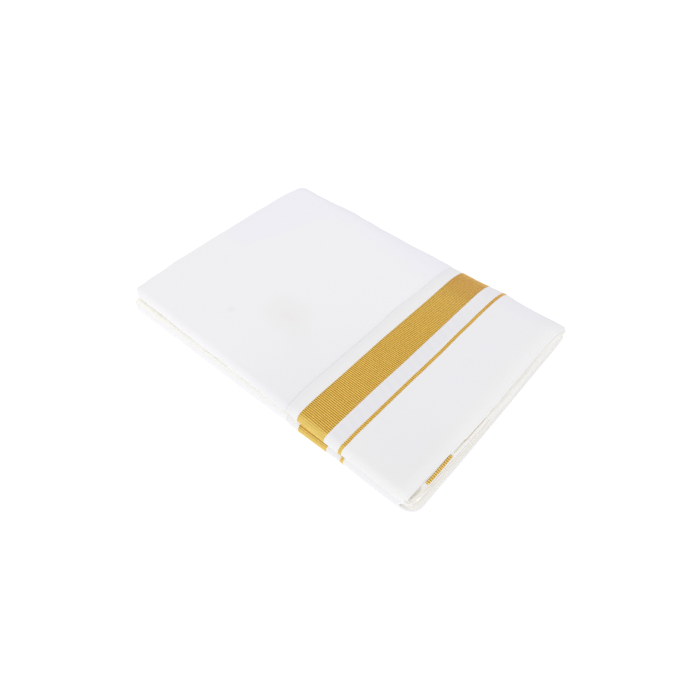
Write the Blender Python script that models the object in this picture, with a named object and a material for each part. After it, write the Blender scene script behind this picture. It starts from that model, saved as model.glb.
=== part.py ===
"""A cotton dhoti with a woven gold border, folded into a flat packet of sixteen layers.

The cloth is folded along its length into a strip three panels wide and a flap, then halved
four times. The packet's outermost ply is one wall that starts inside the slit of the near
side, rounds the upper fold, crosses the top, rounds the far fold and comes back under the
packet into the same slit. Units are metres, +Z is up, +X runs towards the border's end and
+Y towards the closed far fold. The origin is the middle of the packet's underside.
"""

from math import cos, pi, radians, sin, sqrt

import bmesh
import bpy

MM = 0.001

# ---- the cloth as it is cut, and the packet that it folds into -------------------------
CLOTH_LENGTH = 3936 * MM
CLOTH_WIDTH = 1193 * MM           # from selvedge to selvedge
LAYERS = 16                       # the strip is halved four times
PANELS = 3                        # across the strip, beside the flap
FLAP_WIDTH = 137 * MM             # from the right edge in to the selvedge of the border
PACKET_LENGTH = (CLOTH_WIDTH - FLAP_WIDTH) / PANELS   # X
FOLD_WIDTH = CLOTH_LENGTH / LAYERS   # Y, from the upper near fold to the far fold
PACKET_HEIGHT = 26.4 * MM         # Z, of the cloth in the middle of the packet

# ---- walls -----------------------------------------------------------------------------
PLY = 1.0 * MM                    # one wall of cloth
GAP = 0.3 * MM                    # between pieces that touch
FLAP_STEP = 0.6 * MM              # how far the flap stands above the panel beside it
CREASE_RADIUS = 1.7 * MM          # outside of the panel's left crease
FLAP_CREASE_RADIUS = 2 * PLY + GAP   # it goes round the panel's right edge
SELVEDGE_ROUND = 0.8 * MM         # the selvedge's upper edge is rounded so far in
SELVEDGE_DROP = 0.35 * MM
CORE_DEPTH = 2 * PLY + 2 * GAP + 0.05 * MM   # from the packet's skin to its hidden layers

# ---- folds -----------------------------------------------------------------------------
SLIT = 0.6 * MM                   # between the upper and the lower fold group
SLIT_OPEN = 1.6 * MM              # more at the left end, where the groups part
SLIT_OPEN_LENGTH = 22 * MM
TUCK_DEPTH = 36 * MM              # how far the outer ply is followed into the slit
FAR_UNDER = 12 * MM               # half width of the far fold below its widest point
LOWER_LEAD = 7.5 * MM             # the most that the lower group shows past the upper one

# ---- border ----------------------------------------------------------------------------
BAND_START = 14.5 * MM            # from the selvedge
BAND_WIDTH = 31.5 * MM
LINE_START = 61.0 * MM
LINE_WIDTH = 2.4 * MM
ZARI_WALL = 0.5 * MM
LINE_PITCH = 2.5 * MM             # length of one facet of the thin line
RIB_PITCH = 2.0 * MM
RIB_HEIGHT = 0.3 * MM
BAND_RISE = GAP + ZARI_WALL + RIB_HEIGHT

# ---- frame -----------------------------------------------------------------------------
LEFT = -PACKET_LENGTH / 2
RIGHT = PACKET_LENGTH / 2
PACKET_WIDTH = LOWER_LEAD + FOLD_WIDTH + BAND_RISE
FAR = PACKET_WIDTH / 2 - BAND_RISE
NEAR = FAR - FOLD_WIDTH           # the upper group's near fold
TUCK_END = NEAR + TUCK_DEPTH

# How far the lower group's near fold shows past the upper one's, from left to right. The
# rounded corner takes in the first of it.
# columns: share of the packet's length, lead in mm
LEAD_ROWS = ((0.00, 8.5), (0.12, 6.6), (0.24, 4.6), (0.38, 2.0), (0.50, 2.2),
             (0.62, 1.2), (0.76, 0.8), (0.88, -0.2), (1.00, -1.2))

# The far fold above its widest point: how far in from the far edge the top starts to fall.
# columns: share of the packet's length, half width in mm
FAR_ROWS = ((0.00, 17.0), (0.30, 21.0), (0.60, 33.0), (0.80, 29.0), (1.00, 23.0))

# The selvedge wanders a little to the right as the strip is laid over itself. The rows
# follow the outer ply round the packet.
# columns: stretch of the ply, wander in mm at its start and at its end
SELVEDGE_ROWS = {
    "upper tuck": (-1.0, 0.0),
    "upper nose": (0.0, 0.0),
    "top": (0.0, 5.0),
    "far above": (5.0, 6.0),
    "far below": (6.0, 5.5),
    "underside": (5.5, 2.5),
    "lower nose": (2.5, 2.5),
    "lower tuck": (2.5, 2.0),
}

# Stretches of the outer ply, in order from inside the slit, and their number of facets.
STRETCHES = (("upper tuck", 1), ("upper nose", 6), ("top", 6), ("far above", 8),
             ("far below", 5), ("underside", 2), ("lower nose", 6), ("lower tuck", 1))

# The top sags by so much towards its two far corners, and falls off over a short way at each end.
BACK_LEFT_SAG = 2.6 * MM
BACK_RIGHT_SAG = 1.0 * MM
RIGHT_FALL, RIGHT_FALL_LENGTH = 1.9 * MM, 20 * MM
LEFT_FALL, LEFT_FALL_LENGTH = 1.0 * MM, 12 * MM
DIP_LENGTH = 8 * MM               # over which the panel dips to go under the flap

# Where the outer ply ends at the right and the left, by height.
# columns: share of the height, right setback near and far in mm, left setback in mm
END_ROWS = ((0.00, 0.0, 0.0, 0.0), (0.25, 1.2, 1.0, 0.8), (0.50, 3.0, 2.6, 0.3),
            (0.75, 5.6, 4.4, 1.0), (1.00, 6.5, 5.0, 0.4))

# The hidden plies show at both ends as six rounded fold edges, one for each pair of levels.
# columns: level below, level above, right setback near and far in mm, left setback in mm
NOSE_ROWS = (
    ("floor", "low quarter", 0.6, 0.5, 1.6),
    ("low quarter", "low shelf", 1.8, 1.4, 0.7),
    ("low shelf", "slit", 2.7, 2.3, 1.4),
    ("slit", "high shelf", 3.6, 3.0, 0.8),
    ("high shelf", "high quarter", 3.9, 3.3, 2.0),
    ("high quarter", "roof", 6.4, 5.0, 1.1),
)
NOSE_DEPTH = 1.9 * MM             # from a fold edge's crest to the groove beside it
NOSE_SHARES = (0.0, 0.15, 0.5, 0.85)
OUTER_NOSE_INSET = 1.2 * MM       # more at the floor and the roof, inside the outer ply's creases
SHELF_STEP = 0.3 * MM             # the hidden plies' floor and ceiling of the slit slope by this

# The packet's corners in plan, rounded where folds meet.
# columns: corner, radius in mm on the upper and on the lower fold group
CORNER_RADII = {"near right": (12.0, 15.0), "far right": (3.0, 3.0),
                "near left": (3.0, 9.0), "far left": (5.0, 5.0)}

# ---- the short gold bar on the fold edge under the top layers, at the right end ---------
BAR_START = 27 * MM               # from the upper near fold
BAR_LENGTH = 31 * MM
BAR_NOSE = 4                      # its row in NOSE_ROWS
BAR_SHARES = (0.50, 0.64, 0.78, 0.90)

CLOTH_WHITE = (0.86, 0.86, 0.88, 1.0)
LAYER_WHITE = (0.80, 0.79, 0.76, 1.0)
FLAP_WHITE = (0.89, 0.89, 0.90, 1.0)
ZARI_GOLD = (0.60, 0.36, 0.06, 1.0)


# ---- small helpers ---------------------------------------------------------------------
def smooth(value):
    """0 to 1 with level ends."""
    value = min(max(value, 0.0), 1.0)
    return value * value * (3.0 - 2.0 * value)


def mix(first, second, share):
    return first + (second - first) * share


def row_value(rows, share, column=1):
    """Read a table's column at a share, on a smooth curve through its rows."""
    share = min(max(share, rows[0][0]), rows[-1][0])
    index = max(i for i in range(len(rows) - 1) if rows[i][0] <= share)
    before = rows[max(index - 1, 0)]
    start, end = rows[index], rows[index + 1]
    after = rows[min(index + 2, len(rows) - 1)]
    span = end[0] - start[0]
    local = (share - start[0]) / span
    slope_in = (end[column] - before[column]) / (end[0] - before[0]) * span
    slope_out = (after[column] - start[column]) / (after[0] - start[0]) * span
    square, cube = local ** 2, local ** 3
    return ((2 * cube - 3 * square + 1) * start[column] + (cube - 2 * square + local) * slope_in
            + (3 * square - 2 * cube) * end[column] + (cube - square) * slope_out)


def spread(start, end, pieces):
    """The points that cut a length into equal pieces, without its last one."""
    return [mix(start, end, i / pieces) for i in range(pieces)]


# ---- the packet's form -----------------------------------------------------------------
def along(x):
    """Share of the packet's length."""
    return (x - LEFT) / PACKET_LENGTH


def far_top(x):
    """Half width of the far fold above its widest point."""
    return row_value(FAR_ROWS, along(x)) * MM


def roof(x, y):
    """Height of the top, level but for its sags and falls. The sags start a third of the way back."""
    y = min(y, FAR - far_top(x))
    back = smooth((y - NEAR) / FOLD_WIDTH * 1.6 - 0.5)
    sag = BACK_LEFT_SAG * back * (1.0 - smooth(along(x) * 1.5))
    sag += BACK_RIGHT_SAG * back * smooth(along(x) * 2.0 - 1.0)
    right_fall = RIGHT_FALL * smooth(1.0 - (RIGHT - x) / RIGHT_FALL_LENGTH)
    left_fall = LEFT_FALL * smooth(1.0 - (x - LEFT) / LEFT_FALL_LENGTH)
    return PACKET_HEIGHT - sag - right_fall - left_fall


def slit_width(x):
    return SLIT + SLIT_OPEN * smooth(1.0 - (x - LEFT) / SLIT_OPEN_LENGTH)


def slit_level(x):
    return 0.5 * roof(x, NEAR)


def upper_nose(x):
    """Centre (y, z) and radius of the upper group's near fold."""
    low = slit_level(x) + slit_width(x) / 2
    radius = (roof(x, NEAR) - low) / 2
    return NEAR + radius, low + radius, radius


def lower_nose(x):
    """Centre (y, z) and radius of the lower group's near fold."""
    radius = (slit_level(x) - slit_width(x) / 2) / 2
    edge = NEAR - row_value(LEAD_ROWS, along(x)) * MM
    return edge + radius, radius, radius


def far_nose(x):
    """Height of the far fold's widest point."""
    return 0.5 * roof(x, FAR)


def section_point(x, stretch, share, depth):
    """Point (y, z) of the packet's section at x, so deep under its skin."""
    if stretch == "upper tuck":
        return mix(TUCK_END, upper_nose(x)[0], share), slit_level(x) + slit_width(x) / 2 + depth
    if stretch == "upper nose":
        y, z, radius = upper_nose(x)
        angle = radians(mix(-90, -270, share))
        return y + (radius - depth) * cos(angle), z + (radius - depth) * sin(angle)
    if stretch == "top":
        y = mix(upper_nose(x)[0], FAR - far_top(x), share)
        return y, roof(x, y) - depth
    if stretch == "far above":
        angle = radians(mix(90, 0, share))
        middle = far_nose(x)
        y = FAR - far_top(x) + (far_top(x) - depth) * cos(angle)
        return y, middle + (roof(x, FAR) - middle - depth) * sin(angle)
    if stretch == "far below":
        angle = radians(mix(0, 90, share))
        middle = far_nose(x)
        return FAR - FAR_UNDER + (FAR_UNDER - depth) * cos(angle), middle - (middle - depth) * sin(angle)
    if stretch == "underside":
        return mix(FAR - FAR_UNDER, lower_nose(x)[0], share), depth
    if stretch == "lower nose":
        y, z, radius = lower_nose(x)
        angle = radians(mix(-90, -270, share))
        return y + (radius - depth) * cos(angle), z + (radius - depth) * sin(angle)
    return mix(lower_nose(x)[0], TUCK_END, share), slit_level(x) - slit_width(x) / 2 - depth


def selvedge(stretch, share):
    start, end = SELVEDGE_ROWS[stretch]
    return RIGHT - FLAP_WIDTH + mix(start, end, share) * MM


def corner_setback(side, y, upper, depth=0.0):
    """Setback of an end at y, for a face so deep under the packet's skin."""
    centre, _, radius = lower_nose(RIGHT if side == "right" else LEFT)
    near_edge = (NEAR if upper else centre - radius) + depth
    group = 0 if upper else 1
    near_radius = CORNER_RADII["near " + side][group] * MM
    far_radius = CORNER_RADII["far " + side][group] * MM
    setback = 0.0
    for radius, inside in ((near_radius, y - near_edge), (far_radius, FAR - depth - y)):
        reach = min(max(radius - inside, 0.0), radius * 0.98)
        setback += radius - sqrt(radius * radius - reach * reach)
    return setback


def wall_end(side, stretch, share, depth):
    """Where the outer ply ends at the right or the left, for one of its rows."""
    x = RIGHT if side == "right" else LEFT
    y, z = section_point(x, stretch, share, depth)
    height = z / roof(x, y)
    across = (y - NEAR) / FOLD_WIDTH
    upper = z > slit_level(x)
    if side == "right":
        setback = mix(row_value(END_ROWS, height, 1), row_value(END_ROWS, height, 2), across) * MM
        return RIGHT - setback - corner_setback(side, y, upper)
    return LEFT + row_value(END_ROWS, height, 3) * MM + corner_setback(side, y, upper)


def rows_of(stretches):
    """(stretch, share) of each row of a wall, from inside the slit round to the slit again."""
    rows = []
    for stretch, facets in stretches:
        rows += [(stretch, share) for share in spread(0.0, 1.0, facets)]
    last = stretches[-1][0]
    return rows + [(last, 1.0)]


# ---- meshes ----------------------------------------------------------------------------
def wall_mesh(name, outer, inner):
    """A closed wall between two grids of points, of the same rows and columns."""
    shape = bmesh.new()
    skins = [[[shape.verts.new(point) for point in row] for row in grid] for grid in (outer, inner)]
    rows, columns = len(outer), len(outer[0])
    for top, skin in enumerate(skins):
        for i in range(rows - 1):
            for j in range(columns - 1):
                corners = (skin[i][j], skin[i][j + 1], skin[i + 1][j + 1], skin[i + 1][j])
                shape.faces.new(corners if top else corners[::-1])
    over, under = skins
    for j in range(columns - 1):
        for i in (0, rows - 1):
            shape.faces.new((over[i][j], over[i][j + 1], under[i][j + 1], under[i][j]))
    for i in range(rows - 1):
        for j in (0, columns - 1):
            shape.faces.new((over[i][j], over[i + 1][j], under[i + 1][j], under[i][j]))
    return finish_mesh(name, shape)


def finish_mesh(name, shape):
    bmesh.ops.recalc_face_normals(shape, faces=shape.faces)
    mesh = bpy.data.meshes.new(name)
    shape.to_mesh(mesh)
    shape.free()
    return mesh


def material(name, colour, roughness, metallic=0.0):
    made = bpy.data.materials.new(name)
    made.use_nodes = True
    shader = made.node_tree.nodes["Principled BSDF"]
    shader.inputs["Base Color"].default_value = colour
    shader.inputs["Roughness"].default_value = roughness
    shader.inputs["Metallic"].default_value = metallic
    made.diffuse_color = colour
    return made


def add_part(collection, mesh, finish):
    made = bpy.data.objects.new(mesh.name, mesh)
    mesh.materials.append(finish)
    mesh.shade_smooth()
    mesh.set_sharp_from_angle(angle=radians(40))
    collection.objects.link(made)
    return made


# ---- the outer ply ---------------------------------------------------------------------
def panel_depth(x, stretch, share):
    """Depth of the panel's outer face: it dips under the flap from just left of the selvedge."""
    lift = {"underside": 0.0, "far below": 1.0 - share, "lower nose": min(share * 2.0, 1.0)}
    open_depth = FLAP_STEP * lift.get(stretch, 1.0)
    return mix(open_depth, PLY + GAP, smooth((x - selvedge(stretch, share)) / DIP_LENGTH + 1.0))


def body_panel():
    """Plain ground: the whole length of the packet, its left edge a crease, its right one inside the flap."""
    outer, inner = [], []
    for stretch, share in rows_of(STRETCHES):
        start = wall_end("left", stretch, share, 0.0)
        end = wall_end("right", stretch, share, 0.0) - FLAP_CREASE_RADIUS - GAP
        edge = selvedge(stretch, share)
        flat = start + CREASE_RADIUS
        stations = (spread(flat, flat + LEFT_FALL_LENGTH, 3)
                    + spread(flat + LEFT_FALL_LENGTH, edge - DIP_LENGTH, 7)
                    + spread(edge - DIP_LENGTH, edge, 4)
                    + spread(edge, end - RIGHT_FALL_LENGTH, 4)
                    + spread(end - RIGHT_FALL_LENGTH, end, 4) + [end])
        over, under = [], []
        for angle in (90, 60, 30):
            depth = panel_depth(start, stretch, share) + CREASE_RADIUS
            for skin, radius in ((over, CREASE_RADIUS), (under, CREASE_RADIUS - PLY)):
                x = flat - radius * sin(radians(angle))
                skin.append((x, *section_point(x, stretch, share, depth - radius * cos(radians(angle)))))
        for x in stations:
            depth = panel_depth(x, stretch, share)
            over.append((x, *section_point(x, stretch, share, depth)))
            under.append((x, *section_point(x, stretch, share, depth + PLY)))
        outer.append(over)
        inner.append(under)
    return wall_mesh("body_panel", outer, inner)


def border_flap():
    """The border's end of the ply, folded back over the right edge. Its left edge is the selvedge."""
    outer, inner = [], []
    for stretch, share in rows_of(STRETCHES):
        end = wall_end("right", stretch, share, 0.0)
        start = selvedge(stretch, share)
        flat = end - FLAP_CREASE_RADIUS
        stations = ([start] + spread(start + SELVEDGE_ROUND, flat - RIGHT_FALL_LENGTH, 5)
                    + spread(flat - RIGHT_FALL_LENGTH, flat, 4) + [flat])
        over, under = [], []
        for x in stations:
            edge = SELVEDGE_DROP if x == start else 0.0
            over.append((x, *section_point(x, stretch, share, edge)))
            under.append((x, *section_point(x, stretch, share, PLY)))
        for angle in (30, 60, 90):
            for skin, radius in ((over, FLAP_CREASE_RADIUS), (under, FLAP_CREASE_RADIUS - PLY)):
                x = flat + radius * sin(radians(angle))
                depth = FLAP_CREASE_RADIUS - radius * cos(radians(angle))
                skin.append((x, *section_point(x, stretch, share, depth)))
        outer.append(over)
        inner.append(under)
    return wall_mesh("border_flap", outer, inner)


# ---- zari ------------------------------------------------------------------------------
# The stretches that the zari shows on. It is flush with the cloth on the underside and in
# the slit, so its walls end where those begin.
# columns: stretch, share at the start and at the end
ZARI_UPPER = (("upper nose", 0.22, 1.0), ("top", 0.0, 1.0), ("far above", 0.0, 1.0),
              ("far below", 0.0, 0.66))
ZARI_LOWER = (("lower nose", 0.22, 0.88),)
MEASURING_STEPS = 60              # that a stretch is measured in, to lay the ribs at an even pitch


def zari_rows(stretches, start, pitch):
    """(stretch, share) at equal steps of the cloth's own length along the border."""
    marks = []
    travelled = 0.0
    for stretch, begin, end in stretches:
        for i in range(MEASURING_STEPS):
            share = mix(begin, end, i / MEASURING_STEPS)
            following = mix(begin, end, (i + 1) / MEASURING_STEPS)
            x = selvedge(stretch, share) + start
            first = section_point(x, stretch, share, 0.0)
            second = section_point(x, stretch, following, 0.0)
            marks.append((travelled, stretch, share))
            travelled += sqrt((second[0] - first[0]) ** 2 + (second[1] - first[1]) ** 2)
    marks.append((travelled, stretches[-1][0], stretches[-1][2]))
    count = round(travelled / pitch)
    rows, index = [], 0
    for step in range(count + 1):
        target = travelled * step / count
        while index < len(marks) - 2 and marks[index + 1][0] < target:
            index += 1
        low, high = marks[index], marks[index + 1]
        local = (target - low[0]) / (high[0] - low[0])
        end_share = high[2] if high[1] == low[1] else next(e for s, _, e in stretches if s == low[1])
        rows.append((low[1], mix(low[2], end_share, min(max(local, 0.0), 1.0))))
    return rows


def zari_wall(name, stretches, start, width, columns, pitch, rib_height):
    """A gold strip on the flap, made from the flap's own skin moved out. Every second row is a rib's crest."""
    outer, inner = [], []
    for index, (stretch, share) in enumerate(zari_rows(stretches, start, pitch)):
        crest = rib_height * (index % 2)
        left = selvedge(stretch, share) + start
        places = [left + width * j / columns for j in range(columns + 1)]
        outer.append([(x, *section_point(x, stretch, share, -GAP - ZARI_WALL - crest)) for x in places])
        inner.append([(x, *section_point(x, stretch, share, -GAP)) for x in places])
    return wall_mesh(name, outer, inner)


# ---- the hidden layers -----------------------------------------------------------------
def level(name, x, y):
    """Height of one of the hidden plies' levels."""
    middle, half = slit_level(x), slit_width(x) / 2
    low_shelf = middle - half - CORE_DEPTH - SHELF_STEP
    high_shelf = middle + half + CORE_DEPTH + SHELF_STEP
    top = roof(x, y) - CORE_DEPTH
    return {
        "floor": CORE_DEPTH,
        "low quarter": (CORE_DEPTH + low_shelf) / 2,
        "low shelf": low_shelf,
        "slit": middle,
        "high shelf": high_shelf,
        "high quarter": (high_shelf + top) / 2,
        "roof": top,
    }[name]


def nose_height(nose, share, x, y):
    below, above = NOSE_ROWS[nose][:2]
    low, high = level(below, x, y), level(above, x, y)
    if (below, above) == ("low shelf", "slit"):
        low += SHELF_STEP
    if (below, above) == ("slit", "high shelf"):
        high -= SHELF_STEP
    return mix(low, high, share)


def near_edge(nose, x, share):
    """Near side of the hidden plies: the folds' rounds, and the end of the slit between them."""
    if nose in (2, 3):
        return TUCK_END + GAP
    y, z, radius = lower_nose(x) if nose < 2 else upper_nose(x)
    radius -= CORE_DEPTH
    rise = nose_height(nose, share, x, NEAR) - z
    return y - sqrt(max(radius * radius - rise * rise, 0.0))


def far_edge(nose, x, share):
    z = nose_height(nose, share, x, FAR)
    middle = far_nose(x)
    if z > middle:
        half, high = far_top(x), roof(x, FAR) - middle - CORE_DEPTH
    else:
        half, high = FAR_UNDER, middle - CORE_DEPTH
    rise = min(abs(z - middle) / high, 1.0)
    return FAR - half + (half - CORE_DEPTH) * sqrt(1.0 - rise * rise)


def nose_inset(share):
    """How far a fold edge is rounded back from its crest."""
    return NOSE_DEPTH * (1.0 - sqrt(1.0 - (2.0 * share - 1.0) ** 2))


def core_end(side, nose, share, y):
    """Where the hidden plies end at the right or the left."""
    row = NOSE_ROWS[nose]
    across = (y - NEAR) / FOLD_WIDTH
    inset = nose_inset(share)
    if (nose, share) in ((0, 0.0), (len(NOSE_ROWS) - 1, 1.0)):
        inset += OUTER_NOSE_INSET
    inset += corner_setback(side, y, nose > 2, CORE_DEPTH)
    if side == "right":
        return RIGHT - mix(row[2], row[3], across) * MM - inset
    return LEFT + row[4] * MM + inset


def core_ring(nose, share, columns, rows):
    """One level of the hidden plies: near side, right end, far side and left end in turn."""
    def ends(y):
        return core_end("left", nose, share, y), core_end("right", nose, share, y)

    near_left, near_right = ends(near_edge(nose, LEFT, share))[0], ends(near_edge(nose, RIGHT, share))[1]
    far_left, far_right = ends(far_edge(nose, LEFT, share))[0], ends(far_edge(nose, RIGHT, share))[1]
    ring = [(x, near_edge(nose, x, share)) for x in station_xs(near_left, near_right, columns)]
    for step in range(1, rows):
        y = mix(near_edge(nose, RIGHT, share), far_edge(nose, RIGHT, share), row_share(step, rows))
        ring.append((ends(y)[1], y))
    ring += [(x, far_edge(nose, x, share)) for x in station_xs(far_left, far_right, columns)[::-1]]
    for step in range(rows - 1, 0, -1):
        y = mix(near_edge(nose, LEFT, share), far_edge(nose, LEFT, share), row_share(step, rows))
        ring.append((ends(y)[0], y))
    return [(x, y, nose_height(nose, share, x, y)) for x, y in ring]


def station_xs(start, end, columns):
    """Stations along X, closer together near the ends."""
    return [mix(start, end, row_share(i, columns)) for i in range(columns + 1)]


def row_share(step, count):
    """Equal steps drawn towards both ends."""
    share = step / count
    return mix(share, 0.5 - 0.5 * cos(pi * share), 0.75)


def folded_layers(columns=14, rows=8):
    """All the plies inside, as one solid: rings from its floor to its roof, closed by two grids."""
    steps = []
    for nose in range(len(NOSE_ROWS)):
        steps += [(nose, share) for share in NOSE_SHARES]
        if nose in (1, 2, 3) or nose == len(NOSE_ROWS) - 1:
            steps.append((nose, 1.0))
    steps = [step for step in steps if step != (3, 0.0)]
    shape = bmesh.new()
    rings = [[shape.verts.new(point) for point in core_ring(nose, share, columns, rows)]
             for nose, share in steps]
    count = len(rings[0])
    for low, high in zip(rings, rings[1:]):
        for i in range(count):
            j = (i + 1) % count
            shape.faces.new((low[i], low[j], high[j], high[i]))
    for ring, (nose, share) in ((rings[0], steps[0]), (rings[-1], steps[-1])):
        close_ring(shape, ring, nose, share, columns, rows)
    return finish_mesh("folded_layers", shape)


def close_ring(shape, ring, nose, share, columns, rows):
    """Close the floor or the roof with a grid between the ring's sides."""
    near = ring[:columns + 1]
    right = ring[columns:columns + rows + 1]
    far = ring[columns + rows:2 * columns + rows + 1][::-1]
    left = [near[0]] + ring[2 * columns + rows + 1:][::-1] + [far[0]]
    grid = [near]
    for i in range(1, rows):
        line = [left[i]]
        for j in range(1, columns):
            x = mix(left[i].co.x, right[i].co.x, row_share(j, columns))
            y = mix(near[j].co.y, far[j].co.y, row_share(i, rows))
            line.append(shape.verts.new((x, y, nose_height(nose, share, x, y))))
        grid.append(line + [right[i]])
    grid.append(far)
    for low, high in zip(grid, grid[1:]):
        for j in range(columns):
            shape.faces.new((low[j], low[j + 1], high[j + 1], high[j]))


def zari_end_bar(pieces=6):
    """A plain gold bar along the fold edge that shows under the top layers, at the right end."""
    outer, inner = [], []
    for step in range(pieces + 1):
        y = NEAR + BAR_START + BAR_LENGTH * step / pieces
        over, under = [], []
        for share in BAR_SHARES:
            tilt = (2.0 * share - 1.0)
            flat = sqrt(1.0 - tilt * tilt)
            for skin, lift in ((over, GAP + ZARI_WALL), (under, GAP)):
                x = core_end("right", BAR_NOSE, share, y) + lift * flat
                skin.append((x, y, nose_height(BAR_NOSE, share, x, y) + lift * tilt))
        outer.append(over)
        inner.append(under)
    return wall_mesh("zari_end_bar", outer, inner)


# ---- the object ------------------------------------------------------------------------
def build():
    for old in list(bpy.data.objects):
        bpy.data.objects.remove(old, do_unlink=True)
    dhoti = bpy.data.collections.new("folded_dhoti")
    bpy.context.scene.collection.children.link(dhoti)
    ribbed = dict(pitch=RIB_PITCH / 2, rib_height=RIB_HEIGHT)
    plain = dict(pitch=LINE_PITCH, rib_height=0.0)
    band = dict(start=BAND_START, width=BAND_WIDTH, columns=2)
    line = dict(start=LINE_START, width=LINE_WIDTH, columns=1)
    add_part(dhoti, folded_layers(), material("hidden plies", LAYER_WHITE, 0.95))
    add_part(dhoti, body_panel(), material("ground cotton", CLOTH_WHITE, 0.9))
    add_part(dhoti, border_flap(), material("border cotton", FLAP_WHITE, 0.9))
    zari = {
        "zari_band_upper": (ZARI_UPPER, band, ribbed),
        "zari_band_lower": (ZARI_LOWER, band, ribbed),
        "zari_line_upper": (ZARI_UPPER, line, plain),
        "zari_line_lower": (ZARI_LOWER, line, plain),
    }
    for name, (stretches, place, weave) in zari.items():
        mesh = zari_wall(name, stretches, **place, **weave)
        add_part(dhoti, mesh, material(name + " gold", ZARI_GOLD, 0.45, 0.7))
    add_part(dhoti, zari_end_bar(), material("end bar gold", ZARI_GOLD, 0.45, 0.7))


build()
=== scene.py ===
# %% [markdown]
# # A folded dhoti with a woven gold border
# A dhoti is one long piece of fine plain-weave cotton, worn wrapped round the waist. Its border is
# a wide band and a thin line of gold thread, called zari. Here it is folded flat, as it is sold and
# stored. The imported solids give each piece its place, and this script gives each one its finish:
# cotton with soft creases, ribbed gold, and the edges of the layers inside.

import bmesh
import bpy
import numpy as np
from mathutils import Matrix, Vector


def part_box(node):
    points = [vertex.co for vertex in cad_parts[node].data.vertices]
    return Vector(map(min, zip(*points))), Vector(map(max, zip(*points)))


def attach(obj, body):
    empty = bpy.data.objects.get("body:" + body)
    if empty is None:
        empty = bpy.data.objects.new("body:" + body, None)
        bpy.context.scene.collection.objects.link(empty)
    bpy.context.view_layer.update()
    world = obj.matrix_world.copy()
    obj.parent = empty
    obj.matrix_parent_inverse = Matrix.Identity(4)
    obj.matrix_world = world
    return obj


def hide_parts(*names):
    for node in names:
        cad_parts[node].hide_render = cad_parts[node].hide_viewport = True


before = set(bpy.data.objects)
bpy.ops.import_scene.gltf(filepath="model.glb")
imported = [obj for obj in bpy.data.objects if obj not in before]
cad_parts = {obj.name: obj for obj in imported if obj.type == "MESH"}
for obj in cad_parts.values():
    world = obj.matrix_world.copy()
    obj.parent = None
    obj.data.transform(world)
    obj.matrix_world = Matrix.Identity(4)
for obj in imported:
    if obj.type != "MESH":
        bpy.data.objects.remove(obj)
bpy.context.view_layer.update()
MM = 0.001
print("nodes:", sorted(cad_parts))

# %% [markdown]
# ## The cloth and its packet
# The cloth is folded across its width first, into three panels and a flap, and then halved four
# times along its length. The packet's sizes follow from the cut and the number of folds.

# %% Sizes of the cloth
CLOTH_LENGTH = 3936 * MM
CLOTH_WIDTH = 1193 * MM
LAYERS = 16
PANELS = 3
FLAP_WIDTH = 137 * MM
PACKET_LENGTH = (CLOTH_WIDTH - FLAP_WIDTH) / PANELS
FOLD_WIDTH = CLOTH_LENGTH / LAYERS
PACKET_HEIGHT = 26.4 * MM
LOWER_LEAD = 7.5 * MM        # the most that the lower fold group shows past the upper one
BAND_RISE = 1.1 * MM         # the gold band's solid stands so far above the cloth
LEFT, RIGHT = -PACKET_LENGTH / 2, PACKET_LENGTH / 2
FAR = (LOWER_LEAD + FOLD_WIDTH - BAND_RISE) / 2
NEAR = FAR - FOLD_WIDTH
flap_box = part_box("border_flap")
print("right end and far fold differ from the frame by %.2f and %.2f mm"
      % ((flap_box[1].x - RIGHT) / MM, (flap_box[1].y - FAR) / MM))

# %% [markdown]
# ## How the folds lie
# Folded cloth is never square. The lower group of layers slides a little past the upper one, the
# far fold is fuller in places, and the right end steps back towards the top. Short tables hold
# these shifts, one row for each place along an edge, and a smooth curve runs through the rows.

# %% Tables of the folds
# columns: share of the packet's length, how far the lower near fold leads in mm
LEAD_ROWS = ((0.00, 7.6), (0.11, 6.5), (0.20, 5.4), (0.31, 4.6), (0.40, 4.0), (0.47, 3.6), (0.55, 2.7),
             (0.61, 2.2), (0.68, 1.0), (0.74, 0.3), (0.80, -0.4), (0.88, -0.2), (1.00, -1.3))
# columns: share of the packet's length, how far the upper near fold stands out in mm
NEAR_ROWS = ((0.00, 1.0), (0.08, 1.3), (0.55, 1.3), (0.61, 1.2), (0.655, -0.2), (0.70, 0.1), (0.75, 0.8),
             (0.775, 0.7), (0.80, -0.1), (0.86, 0.0), (1.00, 0.0))
# columns: share of the packet's length, half width of the far fold in mm
FAR_ROWS = ((0.00, 17.0), (0.30, 21.0), (0.60, 33.0), (0.80, 29.0), (1.00, 23.0))
# columns: distance from the left end, how far the far fold stands out, both in mm
FAR_BULGES = ((0, 0.4), (24, 0.6), (40, 0.8), (56, 1.5), (70, 3.6), (84, 3.8), (96, 1.8), (104, 2.2),
              (128, 1.7), (152, 1.4), (160, 1.1), (176, 1.3), (194, 2.6), (216, 2.8), (226, 1.0), (240, 0.4),
              (264, 0.8), (273, 1.7), (284, 2.9), (290, 2.6), (296, 1.7), (306, 0.3), (320, -0.3),
              (332, 0.6), (352, 3.0))
# columns: run from the upper near fold, how far the left end of the top stands out, both in mm
LEFT_BULGES = ((0, -1.6), (12, -1.0), (20, 0.0), (38, 0.1), (44, 0.7), (52, 1.9), (60, 1.6), (90, 1.3),
               (105, 1.5), (124, 0.9), (140, 0.9), (164, 0.5), (180, 0.0), (204, -0.5), (214, -1.1),
               (222, -2.2), (230, -3.6), (238, -5.0), (246, -5.4))
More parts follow.
